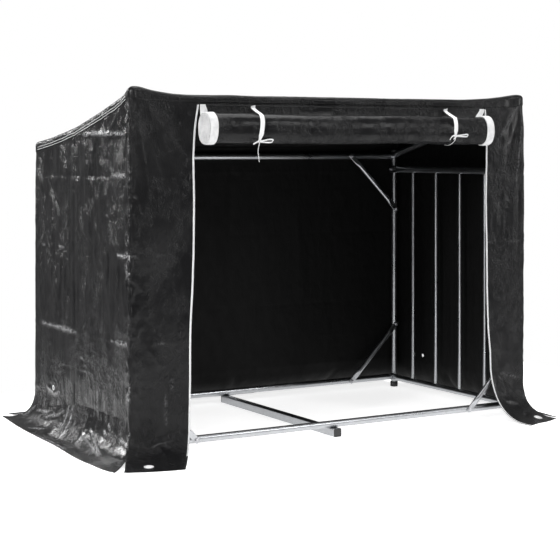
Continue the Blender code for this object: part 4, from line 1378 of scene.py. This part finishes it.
def makeRollEnds():
    # at each end a band round the roll, the wound layers' edges as one spiral ridge, and a ring of stitches
    n = roll["bandSides"]
    turn = 2 * np.pi * np.arange(n) / n
    w, p = roll["bandWidth"], roll["bandProud"]
    section = np.array([(0.0, 0.0), (0.0, p - 0.0008), (0.0008, p), (w * 0.25, p + 0.0006),
                        (w * 0.5, p + 0.0003), (w * 0.75, p + 0.0006), (w - 0.0008, p), (w, p - 0.0008),
                        (w, 0.0)])
    for side, end, sign in (("left", roll["left"], 1), ("right", roll["right"], -1)):
        # band: a closed loop of the tape's section carried round the roll
        wave = 0.0006 * hills(turn / 0.5, turn * 0, 61 + sign)
        across, proud = section[None, :, 0], section[None, :, 1]
        band = rollPlace(end + sign * (across + wave[:, None]), turn[:, None] + 0 * across, proud)
        # end face: rings from the rim to the middle, standing proud in the middle of each layer
        share = np.linspace(1, 0.02, 44)
        rim = rollPlace(np.full((n, 1), end), turn[:, None] + 0 * share[None], p - 0.001)
        axis = np.array([end, roll["y"], roll["z"]])
        face = axis + (rim - axis) * share[None, :, None]
        layer = (share[None] * roll["layers"] + turn[:, None] / (2 * np.pi)) % 1.0
        ridge = 0.0004 + 0.0016 * np.sin(np.pi * layer) ** 0.7
        face[..., 0] = end - sign * ridge + sign * 0.0015 * (1 - share[None])
        rings = len(share)
        innermost = np.arange(n) * rings + rings - 1
        faces = gridFaces(n, rings, True, False).tolist()
        faces += np.stack([np.roll(innermost, -1), innermost, np.full(n, n * rings)], -1).tolist()
        face = np.vstack([face.reshape(-1, 3), axis])
        loop = (band, gridFaces(n, len(section), True, True))
        piece = makePiece(f"roll.band.{side}", [loop], [whiteTape], "door", [f"roll_band_{side}"],
                          None, 50)
        turnOut(piece)
        cap = makePiece(f"roll.end.{side}", [(face, faces)], [whiteTape], "door", sharp=50,
                        wall=0.0006)
        inset = sign * 0.0065
        path = rollPlace(np.full(181, end + inset), np.linspace(0, 2 * np.pi, 181), p + 0.0004)
        out = unit(path - axis - np.array([inset, 0, 0]))
        ring = stitchShapes(path, out, 0.0058, 0.0034, 0.0005)
        sewn = makePiece(f"roll.stitches.{side}", [ring], [paleThreadAndSeamGlint], "door", sharp=0)
        for made in (piece, cap, sewn):
            thinned(made)


curtain = {"top": 1.164, "y": -halfDeep - 0.0046, "low": 1.078, "tapeWidth": 0.024, "tapeThick": 0.0009,
           "tapeProud": 0.0016, "columns": 150, "rows": 26}


def curtainPlace(x, k):
    # from the header down behind the roll; k goes from 0 at the top to 1 where the roll takes it up
    z = curtain["top"] + (curtain["low"] - curtain["top"]) * k
    lean = eased((k - 0.15) / 0.5) * 0.004
    ripple = 0.0010 * hills(x / 0.07, k * 1.5, 71) * np.sin(np.pi * np.clip(k, 0, 1))
    return np.stack([x + 0 * z, curtain["y"] - lean + ripple, z + 0 * x], -1)


def hangFromHeader(piece):
    # takes it off its body and bakes its place into its mesh
    piece.parent = None
    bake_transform(piece)


def makeCurtain():
    # the short sheet between header and roll, and the tape down each of its edges, slanted on the right
    left, right = roll["left"] + 0.003, roll["right"] + 0.006
    k = np.linspace(0, 1, curtain["rows"])
    points = curtainPlace(np.linspace(left, right, curtain["columns"])[:, None], k[None])
    sheet = clothPiece("door.curtain", points, "door_curtain", points[..., (0, 2)])
    hangFromHeader(sheet)
    for side, start, slant in (("left", left, 0.0), ("right", right - curtain["tapeWidth"] + 0.014, -0.022)):
        width = curtain["tapeWidth"] * (0.86 + 0.30 * eased(k * 4))[None]
        x = start + np.linspace(0, 1, 8)[:, None] * width + slant * eased(k * 2.4)[None]
        points = curtainPlace(x, k[None] + 0 * x) - np.array([0, curtain["tapeProud"], 0])
        strip = (points, gridFaces(*points.shape[:2]))
        hangFromHeader(makePiece(f"door.tape.{side}", [strip], [whiteTape], "cover", (), None, 0,
                                 curtain["tapeThick"]))


ribbon = {"width": 0.0170, "thick": 0.0009, "proud": 0.0022, "loopWidth": 0.0065, "loopThick": 0.0022,
          "thinned": (0.011, 0.3)}

# each tie: where it crosses the roll and where it leaves the header, the knot's turn round the roll, the
# ribbon's narrow stretch and its lean there, the bow's loops and short ends with their twists, and the tail
flatTwist = (0.0, -0.75, 0.65)
ties = {
    "left": {
        "x": -0.3800, "topX": -0.3660, "knotTurn": -0.95, "narrow": (), "lean": (),
        "bow": [([(0.002, -0.002, 0.0), (0.016, -0.008, 0.003), (0.034, -0.010, 0.006), (0.0455, -0.009, 0.005),
                  (0.0475, -0.008, 0.0005), (0.043, -0.008, -0.003), (0.030, -0.008, -0.004),
                  (0.014, -0.006, -0.003), (0.003, -0.002, -0.002)], flatTwist),
                ([(-0.002, -0.002, 0.0), (-0.012, -0.008, -0.002), (-0.022, -0.010, -0.006),
                  (-0.029, -0.010, -0.010)], (0.0, -0.5, 0.85))],
        "tail": [(0.0, -0.001, -0.001), (-0.004, -0.006, -0.010), (-0.0085, -0.008, -0.024),
                 (-0.0090, -0.007, -0.038), (-0.0060, -0.006, -0.052), (-0.0040, -0.006, -0.070)],
    },
    "right": {
        "x": 0.4350, "topX": 0.4490, "knotTurn": -0.40, "narrow": (0.012, 0.009),
        "lean": ((0.95, -0.1, 0.35), (0.8, -0.5, 0.35), (0.95, -0.2, 0.2)),
        "bow": [([(0.002, -0.002, 0.001), (0.016, -0.008, 0.003), (0.032, -0.011, 0.005),
                  (0.043, -0.011, 0.006), (0.047, -0.010, 0.002), (0.044, -0.010, -0.002),
                  (0.032, -0.010, -0.002), (0.014, -0.007, -0.001), (0.003, -0.002, -0.001)], flatTwist),
                ([(-0.002, -0.002, 0.001), (-0.012, -0.009, 0.002), (-0.022, -0.010, -0.001),
                  (-0.029, -0.010, -0.007), (-0.033, -0.009, -0.014)], (0.0, -0.6, 0.8)),
                ([(-0.002, -0.003, -0.002), (-0.010, -0.009, -0.006), (-0.015, -0.010, -0.012)],
                 (0.6, -0.5, 0.6))],
        "tail": [(0.0, -0.001, -0.003), (0.0, 0.004, -0.014), (-0.001, 0.014, -0.0235),
                 (-0.003, 0.028, -0.0305), (-0.005, 0.044, -0.0335), (-0.006, 0.056, -0.032)],
    },
}


def makeTie(side):
    # A ribbon from the header over the front of the roll to a knot, with a bow and a tail, each a band swept
    # along its path. Turns are angles round the roll, 0 at its front and a quarter turn at its top.
    tie = ties[side]
    x, topX = tie["x"], tie["topX"]
    turns = np.linspace(1.32, tie["knotTurn"], 16)
    over = rollPlace(topX + (x - topX) * eased(np.linspace(0.25, 1, 16)), turns, ribbon["proud"])
    start = np.array([[topX - 0.004, -halfDeep - 0.0085, 1.162], [topX - 0.002, -halfDeep - 0.0090, 1.152]])
    path = np.vstack([start, over])
    lean = np.tile((1.0, 0.0, 0.0), (len(path), 1))
    wide, thick = np.full(len(path), ribbon["width"]), np.full(len(path), ribbon["thick"])
    # gathered into the knot at its end
    wide[-3:], thick[-2:] = (0.013, 0.011, 0.008), (0.0014, 0.002)
    for k, width in enumerate(tie["narrow"]):
        wide[2 + k] = width
    for k, direction in enumerate(tie["lean"]):
        lean[2 + k] = direction
    shapes = [strandShape(path, lean, wide, thick, 3.5, 12, 70)]
    # knot: a short band wrapped over itself
    knot = rollPlace(np.array([x]), np.array([tie["knotTurn"]]), 0.0040)[0]
    outward = unit(knot - np.array([x, roll["y"], roll["z"]]))
    turn = np.linspace(0, 2 * np.pi, 22)[:, None]
    upward = np.cross((1.0, 0, 0), outward)
    wrap = knot + np.array([1.0, 0, 0.15]) * (0.0052 * np.cos(turn)) + outward * (0.0030 * np.sin(turn))
    shapes.append(strandShape(wrap, upward, 0.0085, 0.0022))
    for strand, twist in tie["bow"]:
        shapes.append(strandShape(knot + np.array(strand), twist, ribbon["loopWidth"], ribbon["loopThick"], 2.4,
                                  steps=60))
    tail = knot + np.array(tie["tail"])
    shapes.append(strandShape(tail, (0.6, 0.7, 0.1), np.linspace(0.0065, 0.0055, len(tail)), 0.0020, steps=50))
    piece = makePiece(f"tie.{side}", shapes, [ribbonCloth], "cover", [f"tie_{side}"], sharp=50)
    turnOut(piece)
    thinned(piece, *ribbon["thinned"])


makeRoll()
makeRollEnds()
makeCurtain()
for side in ties:
    makeTie(side)
print("door and ties made")


# floor and light

floorEnds = {"wide": 1.75, "near": -2.4, "far": 1.05, "glow": 0.80}
skyLight = 0.24       # the white all round as the pieces see it; the camera sees it at full strength

# name, place, what it points at, width and height, watts
lamps = (
    ("key.left.back", (-2.9, 4.3, 2.9), (-0.8, 0, 0.6), (1.3, 1.0), 262),
    ("low.left.back", (-3.4, 2.0, 1.2), (-0.8, 0, 0.3), (0.4, 0.7), 5),
    ("left", (-5.4, -2.4, 2.2), (-0.8, -0.4, 0.8), (0.5, 1.2), 155),
    ("top", (0.3, -0.2, 4.6), (0, 0, 0), (4.5, 3.5), 200),
    ("front.right", (2.4, -4.0, 3.0), (0, -0.4, 0.7), (0.9, 1.6), 46),
    ("right.strip", (4.6, -3.2, 1.5), (0.3, -0.4, 0.7), (0.3, 2.0), 52),
    ("front.left", (-3.6, -4.6, 2.2), (0, 0, 0.7), (0.8, 2.0), 26),
)


def areaLight(name, place, aim, size, power):
    # a rectangle of light that the camera doesn't see
    data = bpy.data.lights.new(name, "AREA")
    data.shape, data.size, data.size_y, data.energy = "RECTANGLE", size[0], size[1], power
    lamp = bpy.data.objects.new(name, data)
    lamp.location = place
    lamp.visible_camera = False
    lamp.rotation_euler = (Vector(aim) - Vector(place)).to_track_quat("-Z", "Y").to_euler()
    scene.collection.objects.link(lamp)


def makeFloor():
    wide, near, far = (floorEnds[key] for key in ("wide", "near", "far"))
    mesh = bpy.data.meshes.new("floor")
    mesh.from_pydata([(-wide, near, 0), (wide, near, 0), (wide, far, 0), (-wide, far, 0)], [], [(0, 1, 2, 3)])
    floor = bpy.data.objects.new("floor", mesh)
    scene.collection.objects.link(floor)
    pale, _, shader = shaderOf("pale_floor", (0.90, 0.90, 0.90), 0.85, specular=0.1)
    shader.inputs["Emission Color"].default_value = (1, 1, 1, 1)
    shader.inputs["Emission Strength"].default_value = floorEnds["glow"]
    mesh.materials.append(pale)


def makeSky():
    world = bpy.data.worlds.new("studio")
    world.use_nodes = True
    scene.world = world
    tree = world.node_tree
    back = tree.nodes["Background"]
    back.inputs["Color"].default_value = (1, 1, 1, 1)
    back.inputs["Strength"].default_value = 1.0
    dim = node(tree, "ShaderNodeBackground", Color=(1, 1, 1, 1), Strength=skyLight)
    path = node(tree, "ShaderNodeLightPath")
    mix = node(tree, "ShaderNodeMixShader")
    tree.links.new(path.outputs["Is Camera Ray"], mix.inputs[0])
    tree.links.new(dim.outputs[0], mix.inputs[1])
    tree.links.new(back.outputs[0], mix.inputs[2])
    tree.links.new(mix.outputs[0], tree.nodes["World Output"].inputs["Surface"])


makeFloor()
makeSky()
for lamp in lamps:
    areaLight(*lamp)
scene.view_settings.view_transform = "Standard"
print("floor and light made")
